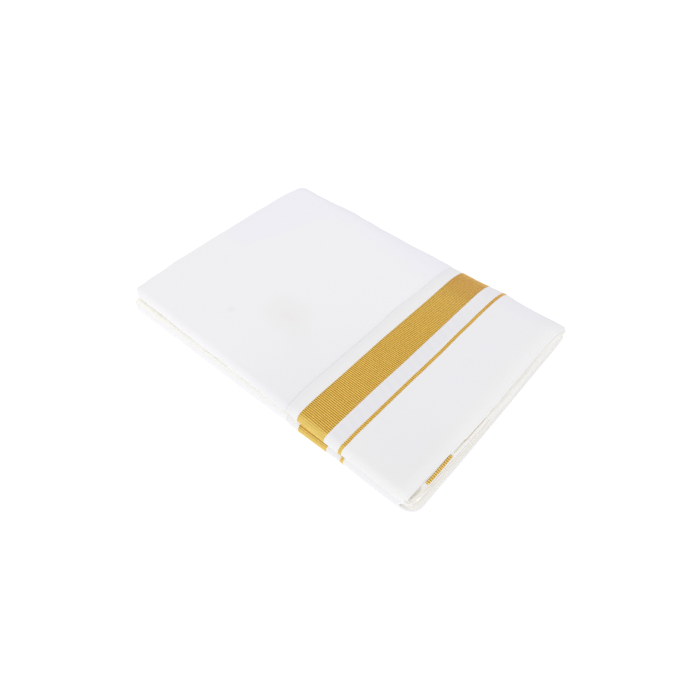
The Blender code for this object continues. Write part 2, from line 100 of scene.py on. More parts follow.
# columns: run from the upper near fold, then the right setback at each height, all in mm
PLY_HEIGHTS = (0.0, 0.25, 0.5, 0.75, 1.0)   # shares of the packet's height
PLY_ENDS = ((0, 0.0, 1.6, 5.2, 5.4, 8.0), (12, 0.0, 1.5, 4.8, 6.6, 8.2), (27, 0.0, 1.4, 4.4, 7.0, 7.9),
            (58, -0.5, 0.8, 3.6, 5.4, 6.2), (98, -0.7, 0.4, 2.2, 3.4, 3.9), (150, -0.7, 0.4, 1.4, 3.0, 3.8),
            (215, -0.6, 0.0, 0.9, 2.5, 3.4), (246, -0.8, -1.0, -0.8, 0.2, 1.4))
LAYER_HEIGHTS = (0.0, 0.25, 0.5, 0.83, 0.87, 1.0)
LAYER_ENDS = ((0, 0.4, 1.9, 5.2, 4.6, 9.6, 10.4), (27, 0.4, 1.7, 4.5, 3.8, 9.6, 10.4),
              (58, 0.0, 1.2, 3.8, 3.5, 8.0, 9.0), (98, -0.1, 0.9, 2.5, 2.7, 5.6, 6.4),
              (150, 0.2, 0.9, 1.6, 2.2, 4.8, 5.4), (215, 0.4, 1.0, 1.5, 2.0, 4.2, 4.8),
              (246, -0.6, -0.8, -0.4, 0.3, 0.9, 1.8))
# columns: share of the height, left setback in mm
LEFT_ROWS = ((0.00, 0.0), (0.25, 0.8), (0.50, 0.3), (0.75, 0.6), (1.00, -0.4))
UPPER_STEP, LOWER_STEP = 0.3 * MM, -0.5 * MM   # the groups part a little at the slit
# columns: corner, radius in plan of the upper and of the lower group in mm
CORNER_RADII = {"near right": (6.0, 15.0), "far right": (3.0, 2.0),
                "near left": (3.0, 9.0), "far left": (6.0, 6.0)}
# columns: run, wander of the selvedge, both in mm
SELVEDGE_ROWS = ((-260, 1.0), (-14, 1.5), (-2, 2.2), (8, 1.6), (24, 0.5), (60, 0.8), (100, 1.5), (124, 1.6),
                 (146, 0.6), (162, 1.8), (182, 3.6), (212, 4.4), (232, 5.6), (280, 6.0), (500, 2.5),
                 (800, 2.0))
FAR_UNDER = 12 * MM          # half width of the far fold below its widest point
SLIT, SLIT_OPEN, SLIT_OPEN_LENGTH = 0.2 * MM, 0.1 * MM, 22 * MM
BACK_RISE, BACK_LEFT_SAG = 0.8 * MM, 0.2 * MM
BACK_SLOPE, BACK_START = 1.6, 0.5      # the rise starts about a third of the way to the far side
SAG_SLOPE = 1.5
RIGHT_FALL, RIGHT_FALL_LENGTH = 1.9 * MM, 20 * MM
LEFT_FALL, LEFT_FALL_LENGTH = 0.5 * MM, 12 * MM
INNER_TURN = FAR - PACKET_HEIGHT / 2   # the slit ends where the innermost layers turn
print("packet %.0f x %.0f x %.1f mm" % (PACKET_LENGTH / MM, FOLD_WIDTH / MM, PACKET_HEIGHT / MM))


# %% Smooth steps and smooth tables
def smooth(value):
    value = np.clip(value, 0.0, 1.0)
    return value * value * (3.0 - 2.0 * value)


def mix(first, second, share):
    return first + (second - first) * share


def read_rows(rows, share, column=1):
    """A table's column at a share, on a Hermite curve through its rows."""
    table = np.array(rows, float)
    share = np.clip(share, table[0, 0], table[-1, 0])
    index = np.clip(np.searchsorted(table[:, 0], share, side="right") - 1, 0, len(table) - 2)
    before, start = table[np.maximum(index - 1, 0)], table[index]
    end, after = table[index + 1], table[np.minimum(index + 2, len(table) - 1)]
    span = end[..., 0] - start[..., 0]
    local = (share - start[..., 0]) / span
    slope_in = (end[..., column] - before[..., column]) / (end[..., 0] - before[..., 0]) * span
    slope_out = (after[..., column] - start[..., column]) / (after[..., 0] - start[..., 0]) * span
    square, cube = local ** 2, local ** 3
    return ((2 * cube - 3 * square + 1) * start[..., column]
            + (cube - 2 * square + local) * slope_in
            + (3 * square - 2 * cube) * end[..., column] + (cube - square) * slope_out)


# %% Heights and folds of the packet
def along(x):
    return (x - LEFT) / PACKET_LENGTH


def far_top(x):
    return read_rows(FAR_ROWS, along(x)) * MM


def far_bulge(x):
    return read_rows(FAR_BULGES, (x - LEFT) / MM) * MM


def roof(x, y):
    """Height of the top, nearly level, with a slow rise to the far side and a fall at each end."""
    y = np.minimum(y, FAR - far_top(x))
    back = smooth((y - NEAR) / FOLD_WIDTH * BACK_SLOPE - BACK_START)
    lift = back * (BACK_RISE - BACK_LEFT_SAG * (1.0 - smooth(along(x) * SAG_SLOPE)))
    right_fall = RIGHT_FALL * smooth(1.0 - (RIGHT - x) / RIGHT_FALL_LENGTH)
    left_fall = LEFT_FALL * smooth(1.0 - (x - LEFT) / LEFT_FALL_LENGTH)
    return PACKET_HEIGHT + lift - right_fall - left_fall


def slit_faces(x):
    """Height of the slit's lower and upper face."""
    middle = 0.5 * roof(x, NEAR)
    half = (SLIT + SLIT_OPEN * smooth(1.0 - (x - LEFT) / SLIT_OPEN_LENGTH)) / 2
    return middle - half, middle + half


def near_fold(x, upper):
    """Centre (y, z) and radius of a group's near fold."""
    low, high = slit_faces(x)
    if upper:
        radius = (roof(x, NEAR) - high) / 2
        return NEAR - read_rows(NEAR_ROWS, along(x)) * MM + radius, high + radius, radius
    radius = low / 2
    return NEAR - read_rows(LEAD_ROWS, along(x)) * MM + radius, radius, radius


print("near fold radius at the border %.1f mm" % (near_fold(0.1, True)[2] / MM))


# %% [markdown]
# ## One curve round the packet
# In section the outer ply is one line: out of the slit, round the upper fold, over the top, round
# the far fold, under the packet, round the lower fold and back into the slit. Every layer inside
# runs beside it, only deeper. So one function gives a point of the section from the stretch it is
# on, how far along it is, and how deep it lies, and all the cloth is made from it.

# %% A point of the section
# columns: stretch round the slit's end, its first and last angle in degrees
TURNS = {"inner turn": (-90.0, 90.0), "turn above": (6.0, 90.0), "turn below": (-90.0, -6.0)}


def round_fold(centre_y, centre_z, wide, high, angle):
    return centre_y + wide * np.cos(angle), centre_z + high * np.sin(angle)


def section_point(x, stretch, share, depth):
    """Point (y, z) of the packet's section at x, so deep under its skin."""
    low, high = slit_faces(x)
    middle = 0.5 * roof(x, FAR)
    if stretch == "upper tuck":
        return mix(INNER_TURN, near_fold(x, True)[0], share), high + depth
    if stretch == "lower tuck":
        return mix(near_fold(x, False)[0], INNER_TURN, share), low - depth
    if stretch in ("upper nose", "lower nose"):
        y, z, radius = near_fold(x, stretch == "upper nose")
        return round_fold(y, z, radius - depth, radius - depth, np.radians(mix(-90.0, -270.0, share)))
    if stretch == "top":
        y = mix(near_fold(x, True)[0], FAR - far_top(x), share)
        return y, roof(x, y) - depth
    if stretch == "far above":
        return round_fold(FAR - far_top(x), middle, far_top(x) + far_bulge(x) - depth,
                          roof(x, FAR) - middle - depth, np.radians(mix(90.0, 0.0, share)))
    if stretch == "far below":
        return round_fold(FAR - FAR_UNDER, middle, FAR_UNDER + far_bulge(x) - depth, middle - depth,
                          np.radians(mix(0.0, -90.0, share)))
    if stretch == "underside":
        return mix(FAR - FAR_UNDER, near_fold(x, False)[0], share), depth + 0.0 * x
    start, end = TURNS[stretch]                            # round the slit's end
    reach = depth + (high - low) / 2
    return round_fold(INNER_TURN, (low + high) / 2, reach, reach, np.radians(mix(start, end, share)))


# %% The ends of the plies, and the selvedge
def corner_setback(side, y, upper):
    """How far a rounded corner takes an end back at y."""
    centre, _, radius = near_fold(RIGHT if side == "right" else LEFT, False)
    near_edge = NEAR if upper else centre - radius
    setback = 0.0
    for corner, inside in (("near ", y - near_edge), ("far ", FAR - y)):
        radius = CORNER_RADII[corner + side][0 if upper else 1] * MM
        reach = np.clip(radius - inside, 0.0, radius * 0.98)
        setback = setback + radius - np.sqrt(radius * radius - reach * reach)
    return setback


def right_setback(rows, heights, y, height):
    """A setback from a table of runs and heights."""
    levels = [read_rows(rows, (y - NEAR) / MM, column) for column in range(1, len(heights) + 1)]
    return np.interp(height, heights, levels) * MM


def ply_end(side, stretch, share):
    """Where the outer ply ends at the right or the left."""
    x = RIGHT if side == "right" else LEFT
    y, z = section_point(x, stretch, share, 0.0)
    height, upper = z / roof(x, y), z > slit_faces(x)[0]
    corner = corner_setback(side, y, upper)
    if side == "left":
        bulge = read_rows(LEFT_BULGES, (y - NEAR) / MM) * smooth((height - 0.5) / 0.3)
        return LEFT + (read_rows(LEFT_ROWS, height) - bulge) * MM + corner
    step = (UPPER_STEP if upper else LOWER_STEP) * smooth(1.0 - abs(height - 0.5) * 4.0)
    return RIGHT - right_setback(PLY_ENDS, PLY_HEIGHTS, y, height) - step - corner


def selvedge(run):
    """Where the selvedge lies at a distance along the ply."""
    return RIGHT - FLAP_WIDTH + read_rows(SELVEDGE_ROWS, run / MM) * MM


print("selvedge at %.1f mm from the left end" % ((selvedge(0.0) - LEFT) / MM))

# %% [markdown]
# ## Rows along the ply
# A mesh of the cloth needs rows across it: about two millimetres apart where the cloth shows, close
# together round the folds, and far apart deep in the slit and on the flat underside. Each row keeps
# its distance along the ply, because creases, weave and gold ribs are measured along the cloth.

# %% Rows of the outer ply
# columns: stretch, number of rows, power that draws them towards its start or end (0: towards both)
PLY_STRETCHES = (("turn above", 4, 1.0), ("upper tuck", 26, -2.0), ("upper nose", 20, 1.0), ("top", 120, 0.0),
                 ("far above", 24, 1.0), ("far below", 14, 1.0), ("underside", 34, 0.0),
                 ("lower nose", 20, 1.0), ("lower tuck", 26, 2.0), ("turn below", 4, 1.0))
MEASURE_AT = 0.05            # x where the distance along the ply is measured
EASING = 0.75                # how strongly rows are drawn towards both ends
FINE = 12                    # so many fine rows to one row of the mesh


def shares_of(pieces, power):
    steps = np.arange(pieces + 1) / pieces
    if power == 0:
        return steps - EASING * np.sin(2 * np.pi * steps) / (2 * np.pi)
    return 1.0 - (1.0 - steps) ** -power if power < 0 else steps ** power


def measured_rows(stretches):
    """(stretch, share, distance along the ply) of each row. The distance is y - NEAR on the top."""
    rows, travelled, before = [], 0.0, None
    for stretch, pieces, power in stretches:
        shares = shares_of(pieces, power)
        for share in shares if stretch == stretches[-1][0] else shares[:-1]:
            point = np.array(section_point(MEASURE_AT, stretch, share, 0.0), float)
            if before is not None:
                travelled += np.linalg.norm(point - before)
            rows.append([stretch, share, travelled])
            before = point
    top = next(row for row in rows if row[0] == "top")
    shift = near_fold(MEASURE_AT, True)[0] - NEAR - top[2]
    return [(stretch, share, run + shift) for stretch, share, run in rows]


ply_rows = measured_rows(PLY_STRETCHES)
fine_rows = measured_rows([(name, count * FINE, power) for name, count, power in PLY_STRETCHES])
print("%d rows over %.0f mm of cloth" % (len(ply_rows), (ply_rows[-1][2] - ply_rows[0][2]) / MM))


# %% A row at any distance
def row_at(run):
    """The stretch and share at a distance along the ply."""
    index = int(np.searchsorted([row[2] for row in fine_rows], run))
    before, after = fine_rows[max(index - 1, 0)], fine_rows[min(index, len(fine_rows) - 1)]
    if before[0] != after[0] or after[2] == before[2]:
        return after[0], after[1]
    return before[0], mix(before[1], after[1], (run - before[2]) / (after[2] - before[2]))


def run_at(stretch, share):
    """Distance along the ply of a share of a stretch."""
    found = [row[2] for row in fine_rows if row[0] == stretch and row[1] <= share + 1e-9]
    return found[-1]


# %% [markdown]
# ## Creases
# Pressed cotton lies almost flat, but not quite. Each soft crease is a short line with a width and
# a depth, and its profile is a bell curve that fades out towards both ends. A few long, low waves
# keep the rest from looking like a board. They are a little stronger on the rounded folds.

# %% Creases placed one by one
# columns: start x and run, end x and run, half width, depth, all in mm; a ridge has a negative depth.
# x is measured from the left end and the run along the cloth from the upper near fold.
CREASES = (
    (70, 224, 214, 209, 6, -0.16), (60, 236, 205, 224, 8, 0.22), (8, 196, 60, 231, 12, 0.20),
    (150, 11, 205, 9, 6, 0.30), (172, 4, 214, 22, 7, -0.12), (20, 12, 96, 15, 7, 0.16),
    (96, 60, 186, 96, 16, 0.16), (26, 120, 70, 64, 18, -0.12), (110, 150, 196, 132, 15, 0.12),
    (296, 206, 338, 190, 6, -0.26), (300, 222, 342, 210, 8, 0.20), (296, 40, 334, 26, 12, 0.20),
    (292, 120, 330, 84, 16, 0.14), (318, 150, 345, 176, 9, -0.14), (300, 8, 340, 14, 7, 0.22),
    (60, 262, 150, 270, 5, 0.25), (190, 258, 262, 268, 6, 0.22), (270, 270, 336, 258, 5, 0.25),
    (30, -12, 88, -9, 4, 0.18), (120, -8, 190, -13, 4, 0.16), (285, -9, 335, -13, 4, 0.20),
)
CREASE_BEND, CREASE_WAVE = 0.35, 5.0   # it strays by a share of its half width, radians over its length
CREASE_FADE = 2.5                      # steepness of its fading out at the ends
# columns: wavelength along x and along the run in mm, phase in turns, height in mm
WAVES = ((131, 97, 0.10, 0.10), (83, -141, 0.55, 0.08), (57, 67, 0.32, 0.05), (211, 39, 0.71, 0.05))
FOLD_WAVES = ((43, 900, 0.2, 0.16), (71, -700, 0.6, 0.14), (26, 500, 0.9, 0.05))


def bell(distance, half_width):
    return np.exp(-(distance / half_width) ** 2)


def crease_depth(x, run):
    """Depth of all the creases at a place of the cloth, x and run in mm."""
    depth = 0.0 * x
    for x0, run0, x1, run1, half_width, deep in CREASES:
        length = np.hypot(x1 - x0, run1 - run0)
        forth = ((x - x0) * (x1 - x0) + (run - run0) * (run1 - run0)) / length ** 2
        aside = ((x - x0) * (run1 - run0) - (run - run0) * (x1 - x0)) / length
        aside = aside + CREASE_BEND * half_width * np.sin(forth * CREASE_WAVE + x0)
        fade = smooth(forth * CREASE_FADE + 0.5) * smooth((1.0 - forth) * CREASE_FADE + 0.5)
        depth = depth + deep * fade * bell(aside, half_width)
    return depth


def wave_height(rows, x, run):
    return sum(high * np.sin(2 * np.pi * (x / across + run / down + phase))
               for across, down, phase, high in rows)


# %% Relief of the whole ply
# start and end in mm of run, then the lengths over which it fades in and out there
SHOWN = (-20.0, 285.0, 10.0, 12.0)     # where there is any relief: not deep in the slit, nor underneath
PRESSED = (0.0, 238.0, 10.0, 16.0)     # where the cloth is pressed flat
FOLD_SINK = 0.12                       # mm


def window(run, start, end, fade_in, fade_out):
    return smooth((run - start) / fade_in) * smooth((end - run) / fade_out)


def relief(x, run):
    """How much deeper the outer ply lies than its solid's skin, in metres."""
    x, run = (x - LEFT) / MM, run / MM + 0.0 * x
    on_fold = 1.0 - window(run, *PRESSED)
    waves = wave_height(WAVES, x, run) + on_fold * (FOLD_SINK + wave_height(FOLD_WAVES, x, run))
    return window(run, *SHOWN) * (crease_depth(x, run) + waves) * MM


print("%d creases and %d waves" % (len(CREASES), len(WAVES) + len(FOLD_WAVES)))

# %% [markdown]
# ## Cloth as a thin shell
# The path of a ply across the packet is a list of stations, each with its x, its depth, and the way
# it faces. A fold edge is a half round of stations, so the cloth visibly turns and goes back
# underneath. Moving the stations half a ply to each side gives the cloth's two faces, and a middle
# row between them rounds the cut edges.

# %% A shell from rows of stations
PLY = 0.56 * MM


def shell_mesh(name, rows, across):
    """A closed thin shell. across(row) gives x, depth, facing along x and along the depth, and the ply."""
    outer, middle, inner, u, v = [], [], [], [], []
    for stretch, share, run in rows:
        x, depth, face_x, face_depth, ply, width_at = across(stretch, share, run)
        for grid, side in ((outer, 0.5), (middle, 0.0), (inner, -0.5)):
            place = x + face_x * ply * side
            y, z = section_point(place, stretch, share, depth + face_depth * ply * side)
            grid.append(np.stack([place, y, z], axis=-1))
        u.append(width_at)
        v.append(np.full(len(x), run))
    return close_shell(name, *(np.array(grid) for grid in (outer, middle, inner)),
                       np.stack([np.array(u), np.array(v)], axis=-1))


def close_shell(name, outer, middle, inner, places):
    """Two grids of points joined along their four edges, by way of a middle line."""
    rows, columns = outer.shape[:2]
    index = np.arange(rows * columns).reshape(rows, columns)
    quads = np.stack([index[:-1, :-1], index[:-1, 1:], index[1:, 1:], index[1:, :-1]], -1).reshape(-1, 4)
    rim = np.concatenate([index[0, :-1], index[:-1, -1], index[-1, :0:-1], index[:0:-1, 0]])
    count = rows * columns
    rim_points = middle.reshape(-1, 3)[rim]
    step = np.arange(len(rim))
    nose, after = 2 * count + step, 2 * count + (step + 1) % len(rim)
    following = np.roll(rim, -1)
    faces = np.concatenate([quads, (quads + count)[:, ::-1],
                            np.stack([following, rim, nose, after], -1),
                            np.stack([after, nose, rim + count, following + count], -1)])
    points = np.concatenate([outer.reshape(-1, 3), inner.reshape(-1, 3), rim_points])
    flat = np.concatenate([places.reshape(-1, 2)] * 2 + [places.reshape(-1, 2)[rim]])
    return mesh_object(name, points, faces, flat)


def mesh_object(name, points, faces, places=None):
    """An object from points and faces. places are its UV coordinates, in metres of cloth."""
    mesh = bpy.data.meshes.new(name)
    mesh.from_pydata(points.tolist(), [], faces if isinstance(faces, list) else faces.tolist())
    if places is not None:
        corners = np.empty(len(mesh.loops), int)
        mesh.loops.foreach_get("vertex_index", corners)
        mesh.uv_layers.new(name="cloth").data.foreach_set("uv", places[corners].ravel())
    mesh.shade_smooth()
    made = bpy.data.objects.new(name, mesh)
    bpy.context.scene.collection.objects.link(made)
    return made


def keep_values(mesh, name, values):
    """Store one value or one vector for each point of a mesh."""
    values = np.array(values, np.float32)
    kind, field = ("FLOAT", "value") if values.ndim == 1 else ("FLOAT_VECTOR", "vector")
    mesh.attributes.new(name, kind, "POINT").data.foreach_set(field, values.ravel())


def outwards(made):
    """Turn a closed mesh the right way out, and print how much cloth it holds."""
    shape = bmesh.new()
    shape.from_mesh(made.data)
    if shape.calc_volume(signed=True) < 0:
        bmesh.ops.reverse_faces(shape, faces=shape.faces)
        shape.to_mesh(made.data)
    print("%s: %d faces, %.1f cm3" % (made.name, len(shape.faces), shape.calc_volume() * 1e6))
    shape.free()
    return made


# %% [markdown]
# ## The plain panel
# The ground of the cloth is the long panel on the left. Its left edge is a fold: the ply turns
# there and goes back inside. On the right it dips and slides under the flap.

# %% Panel of plain ground
FLAP_STEP = 0.6 * MM         # the flap stands so far above the panel
UNDER_FLAP = 1.3 * MM        # depth of the panel's face under the flap's edge
DIP_LENGTH = 9 * MM
TURN_DEPTH = 2.4 * MM        # depth at which a turned ply goes back
TURN_BACK = 12 * MM          # how far it is followed
LEFT_TURN, RIGHT_TURN = 1.7 * MM, 1.6 * MM   # how far the fold edges bulge
UNDER_LAP = 2 * MM           # its finer columns go on so far under the flap
TURN_STEPS, BACK_COLUMNS, PANEL_COLUMNS, DIP_COLUMNS = 9, 5, 98, 9


def open_depth(stretch, share):
    lift = {"underside": 0.0, "far below": 1.0 - share, "lower nose": min(share * 2.0, 1.0)}
    return FLAP_STEP * lift.get(stretch, 1.0)


def turn(flat_x, wide, start, end, direction):
    """Stations of a fold edge: a half round from one depth to another, bulging to one side."""
    angle = np.linspace(0.0, np.pi, TURN_STEPS + 1)
    half = (end - start) / 2
    x = flat_x + direction * wide * np.sin(angle)
    depth = (start + end) / 2 - half * np.cos(angle)
    face_x, face_depth = direction * np.sin(angle) * half, -np.cos(angle) * wide
    long = np.hypot(face_x, face_depth)
    return x, depth, face_x / long, face_depth / long


def panel_across(stretch, share, run):
    left, right = ply_end("left", stretch, share), ply_end("right", stretch, share)
    edge, flat = selvedge(run), left + LEFT_TURN
    top = open_depth(stretch, share) + PLY / 2
    turned = [part[::-1] for part in turn(flat, LEFT_TURN - PLY / 2, top, TURN_DEPTH - PLY / 2, -1.0)]
    back = np.linspace(flat + TURN_BACK, flat, BACK_COLUMNS)[:-1]
    shown = np.linspace(flat, edge - DIP_LENGTH, PANEL_COLUMNS)[1:]
    dip = np.linspace(edge - DIP_LENGTH, edge + UNDER_LAP, DIP_COLUMNS)[1:]
    under = np.linspace(edge + UNDER_LAP, right - RIGHT_TURN - TURN_BACK, DIP_COLUMNS)[1:]
    over = np.concatenate([shown, dip, under])
    x = np.concatenate([back, turned[0], over])
    sink = mix(top, UNDER_FLAP + PLY / 2, smooth((over - edge) / DIP_LENGTH + 1.0))
    depth = np.concatenate([0.0 * back + TURN_DEPTH - PLY / 2, turned[1], sink])
    face_x = np.concatenate([0.0 * back, turned[2], 0.0 * over])
    face_depth = np.concatenate([0.0 * back + 1.0, turned[3], 0.0 * over - 1.0])
    if stretch != "underside":
        depth = depth + relief(x, run)
    return x, depth, face_x, face_depth, PLY, x - LEFT


body_panel = outwards(shell_mesh("cotton_ground_panel", ply_rows, panel_across))


# %% [markdown]
# ## The border flap
# The border's end of the cloth is folded back over the right edge, so its selvedge crosses the top
# of the packet as a low step. Beside the gold the cotton puckers into short, shallow waves.

# %% Flap with its fold edge and puckers
SELVEDGE_SINK, SELVEDGE_SLOPE = 1.0 * MM, 8 * MM
SELVEDGE_TAPER, THIN_PLY = 1.5 * MM, 0.3   # the ply thins to this share over this width
EDGE_ROLL, EDGE_ROLL_LENGTH = 1.8 * MM, 9 * MM   # the fold edge rolls down on the top
ROLL_PULL = 0.5 * MM         # and draws its inner side up
# widths of the flap's finer columns, and the number of columns in each part
NEAR_SELVEDGE, NEAR_EDGE, FLAP_COLUMNS = 4 * MM, 8 * MM, (7, 62, 9)
# columns: run, distance of the gold's left edge from the left end, width, all in mm
BAND_ROWS = ((-40, 229.8, 30.9), (-14, 229.8, 30.9), (-2, 230.4, 30.5), (6, 230.5, 31.0), (15, 230.05, 31.2),
             (30, 230.0, 31.4), (60, 230.5, 31.3), (90, 230.75, 31.8), (105, 230.8, 32.3),
             (120, 231.0, 32.3), (150, 232.0, 31.9), (180, 232.9, 31.5), (210, 233.35, 31.5),
             (232, 233.8, 31.6), (300, 234.6, 32.0), (480, 231.6, 31.6), (600, 231.7, 31.4))
LINE_ROWS = ((-40, 276.2, 3.2), (-14, 276.2, 3.2), (0, 276.35, 3.2), (9, 276.7, 3.2), (15, 276.5, 3.2),
             (30, 276.8, 3.2), (60, 277.3, 3.2), (90, 277.8, 3.2), (105, 278.4, 3.2), (120, 278.75, 3.2),
             (135, 279.15, 3.2), (150, 279.2, 3.2), (165, 279.35, 3.2), (180, 279.8, 3.2), (195, 279.85, 3.2),
             (210, 280.4, 3.2), (232, 281.3, 3.2), (300, 281.6, 3.2), (480, 278.1, 3.0), (600, 277.9, 3.0))
# columns: distance from the selvedge in mm, half width, wavelength, height, phase in turns
PUCKERS = ((50.0, 3.5, 9.6, 0.14, 0.0), (55.5, 3.0, 9.6, 0.12, 0.25), (66.5, 3.0, 15.0, 0.06, 0.2),
           (10.5, 3.0, 19.0, 0.05, 0.7))
PUCKER_WANDER, WANDER_LENGTH = 0.6, 31.0   # radians, and mm for one radian


def pucker_depth(from_selvedge, run):
    depth = 0.0 * from_selvedge
    for place, half_width, wavelength, height, phase in PUCKERS:
        wander = PUCKER_WANDER * np.sin(run / MM / WANDER_LENGTH + place)
        wave = np.sin(2 * np.pi * (run / MM / wavelength + phase) + wander)
        depth = depth + height * MM * wave * bell(from_selvedge / MM - place, half_width)
    return depth


def roll_share(stretch, share):
    return {"top": 1.0, "upper nose": share ** 2, "far above": 1.0 - share}.get(stretch, 0.0)


def flap_cover(x, stretch, share, run):
    """Depth of the flap's outer face."""
    from_edge = x - selvedge(run)
    sink = SELVEDGE_SINK * (1.0 - smooth(from_edge / SELVEDGE_SLOPE))
    rolled = roll_share(stretch, share)
    to_end = np.clip((ply_end("right", stretch, share) - RIGHT_TURN - x) / EDGE_ROLL_LENGTH, 0.0, 1.0)
    sink = sink + EDGE_ROLL * rolled * (1.0 - to_end) ** 2
    if stretch == "underside":
        return sink
    return sink + relief(x, run) + pucker_depth(from_edge, run)


def flap_across(stretch, share, run):
    right, edge = ply_end("right", stretch, share), selvedge(run)
    flat = right - RIGHT_TURN
    stops = (edge, edge + NEAR_SELVEDGE, flat - NEAR_EDGE, flat)
    shown = np.concatenate([np.linspace(*part)[:-1] for part in zip(stops, stops[1:], FLAP_COLUMNS)])
    back_depth = TURN_DEPTH - ROLL_PULL * roll_share(stretch, share) - PLY / 2
    turned = turn(flat, RIGHT_TURN - PLY / 2, PLY / 2, back_depth, 1.0)
    back = np.linspace(flat, flat - TURN_BACK, BACK_COLUMNS)[1:]
    x = np.concatenate([shown, turned[0], back])
    cover = flap_cover(x, stretch, share, run)
    ply = PLY * mix(THIN_PLY, 1.0, smooth((x - edge) / SELVEDGE_TAPER))
    depth = np.concatenate([ply[:len(shown)] / 2, turned[1], 0.0 * back + back_depth])
    face_x = np.concatenate([0.0 * shown, turned[2], 0.0 * back])
    face_depth = np.concatenate([0.0 * shown - 1.0, turned[3], 0.0 * back + 1.0])
    return x, depth + cover, face_x, face_depth, ply, x - edge


border_flap = outwards(shell_mesh("cotton_border_flap", ply_rows, flap_across))

# %% [markdown]
# ## The layers inside
# Inside the outer ply lie three more layers, nested like the pages of a folded letter. In section
# each is a closed loop: over the top, round the far fold, under the packet, round the lower fold,
# and back along the slit. Only the ends show, so each end is a small lip of two lobes: a fold edge,
# and a single ply beside it.

# %% Sizes of the nested layers
CORE_DEPTH = 2.45 * MM       # the layers inside start so deep under the skin
CORE_GAP = 0.1 * MM          # and the innermost one stays so far from the middle
LAYER_LEVELS = ((0.00, 0.32), (0.34, 0.66), (0.68, 1.00))   # share of the room that each one fills
LAYER_SETBACKS = (0.3, 0.0, 0.5)   # mm
LEFT_SETBACK = 1.3 * MM
# columns: height in mm, length in mm for one radian, phase from layer to layer in radians
END_WAVES = ((0.22, 23.0, 2.1), (0.15, 9.5, 1.0))
# columns: stretch, rows, power
LAYER_STRETCHES = (("upper tuck", 34, -1.6), ("upper nose", 16, 1.0), ("top", 48, 0.0),
                   ("far above", 14, 1.0), ("far below", 10, 1.0), ("underside", 36, 0.0),
                   ("lower nose", 16, 1.0), ("lower tuck", 34, 1.6), ("inner turn", 10, 1.0))
# columns: share of the layer's thickness, setback in mm, how deep in a crevice, which sets its painted shade
LIP_ROWS = ((0.00, 1.50, 0.0), (0.00, 0.80, 0.8), (0.05, 0.35, 1.0), (0.17, 0.06, 0.1), (0.32, 0.00, 0.0),
            (0.47, 0.10, 0.1), (0.58, 0.36, 0.5), (0.64, 0.52, 1.0), (0.72, 0.36, 0.4), (0.82, 0.30, 0.1),
            (0.93, 0.42, 0.7), (1.00, 0.90, 1.0), (1.00, 1.50, 0.0))
LIP_LENGTH = 3 * MM
FACE_COLUMNS = 11            # points across the packet between the two lips


# %% Nested layers
def group_half(x, stretch, share):
    """Half the thickness of the fold group at a place."""
    low, high = slit_faces(x)
    y, _ = section_point(x, stretch, share, 0.0)
    upper, lower = (roof(x, y) - high) / 2, low / 2 + 0.0 * x
    if stretch in ("upper tuck", "upper nose", "top"):
        return upper
    weight = {"far above": share, "inner turn": 1.0 - share}.get(stretch, 1.0)
    return mix(upper, lower, weight)


def layer_end(side, stretch, share, layer, run):
    """Where a layer ends at the right or the left."""
    x = RIGHT if side == "right" else LEFT
    room = group_half(x, stretch, share) - CORE_DEPTH
    _, z = section_point(x, stretch, share, CORE_DEPTH + sum(LAYER_LEVELS[layer]) / 2 * room)
    y, _ = section_point(x, stretch, share, 0.0)
    wander = sum(high * np.sin(run / MM / long + phase * layer) for high, long, phase in END_WAVES)
    extra = (LAYER_SETBACKS[layer] + wander) * MM
    corner = corner_setback(side, y, z > slit_faces(x)[0])
    if side == "right":
        return RIGHT - right_setback(LAYER_ENDS, LAYER_HEIGHTS, y, z / roof(x, y)) - extra - corner
    return LEFT + LEFT_SETBACK + extra + corner


def layer_loop(layer):
    """Points of one layer: rows round the section, each a closed loop across the packet."""
    lip_share, lip_back = np.array(LIP_ROWS).T[:2]
    low, high = LAYER_LEVELS[layer]
    lip = mix(low, high, lip_share)
    level = np.concatenate([np.full(FACE_COLUMNS, low), lip, np.full(FACE_COLUMNS, high), lip[::-1]])
    grid, places, travelled, before = [], [], 0.0, None
    for stretch, pieces, power in LAYER_STRETCHES:
        for share in shares_of(pieces, power)[:-1]:
            left, right = (layer_end(side, stretch, share, layer, travelled) for side in ("left", "right"))
            face = np.linspace(left + LIP_LENGTH, right - LIP_LENGTH, FACE_COLUMNS)
            x = np.concatenate([face, right - lip_back * MM, face[::-1], (left + lip_back * MM)[::-1]])
            depth = CORE_DEPTH + level * (group_half(x, stretch, share) - CORE_DEPTH - CORE_GAP)
            y, z = section_point(x, stretch, share, depth)
            middle = np.array([y[FACE_COLUMNS // 2], z[FACE_COLUMNS // 2]])
            travelled += 0.0 if before is None else np.linalg.norm(middle - before)
            before = middle
            grid.append(np.stack([x, y, z], axis=-1))
            places.append(np.stack([x - LEFT, np.full(len(x), travelled)], axis=-1))
    return np.array(grid), np.array(places)


def hidden_layers():
    points, faces, flat, count = [], [], [], 0
    lip_depth = [row[2] for row in LIP_ROWS]
    crevice = [0.0] * FACE_COLUMNS + lip_depth + [0.0] * FACE_COLUMNS + lip_depth[::-1]
    for grid, places in layer_loops:
        index = np.arange(grid[..., 0].size).reshape(grid.shape[:2])
        aside, ahead = np.roll(index, -1, axis=1), np.roll(index, -1, axis=0)
        corner = np.roll(aside, -1, axis=0)
        faces.append(np.stack([index, aside, corner, ahead], -1).reshape(-1, 4) + count)
        points.append(grid.reshape(-1, 3))
        flat.append(places.reshape(-1, 2))
        count += index.size
    made = mesh_object("cotton_hidden_layers", *(np.concatenate(part) for part in (points, faces, flat)))
    keep_values(made.data, "crevice", np.tile(crevice, count // len(crevice)))
    return made


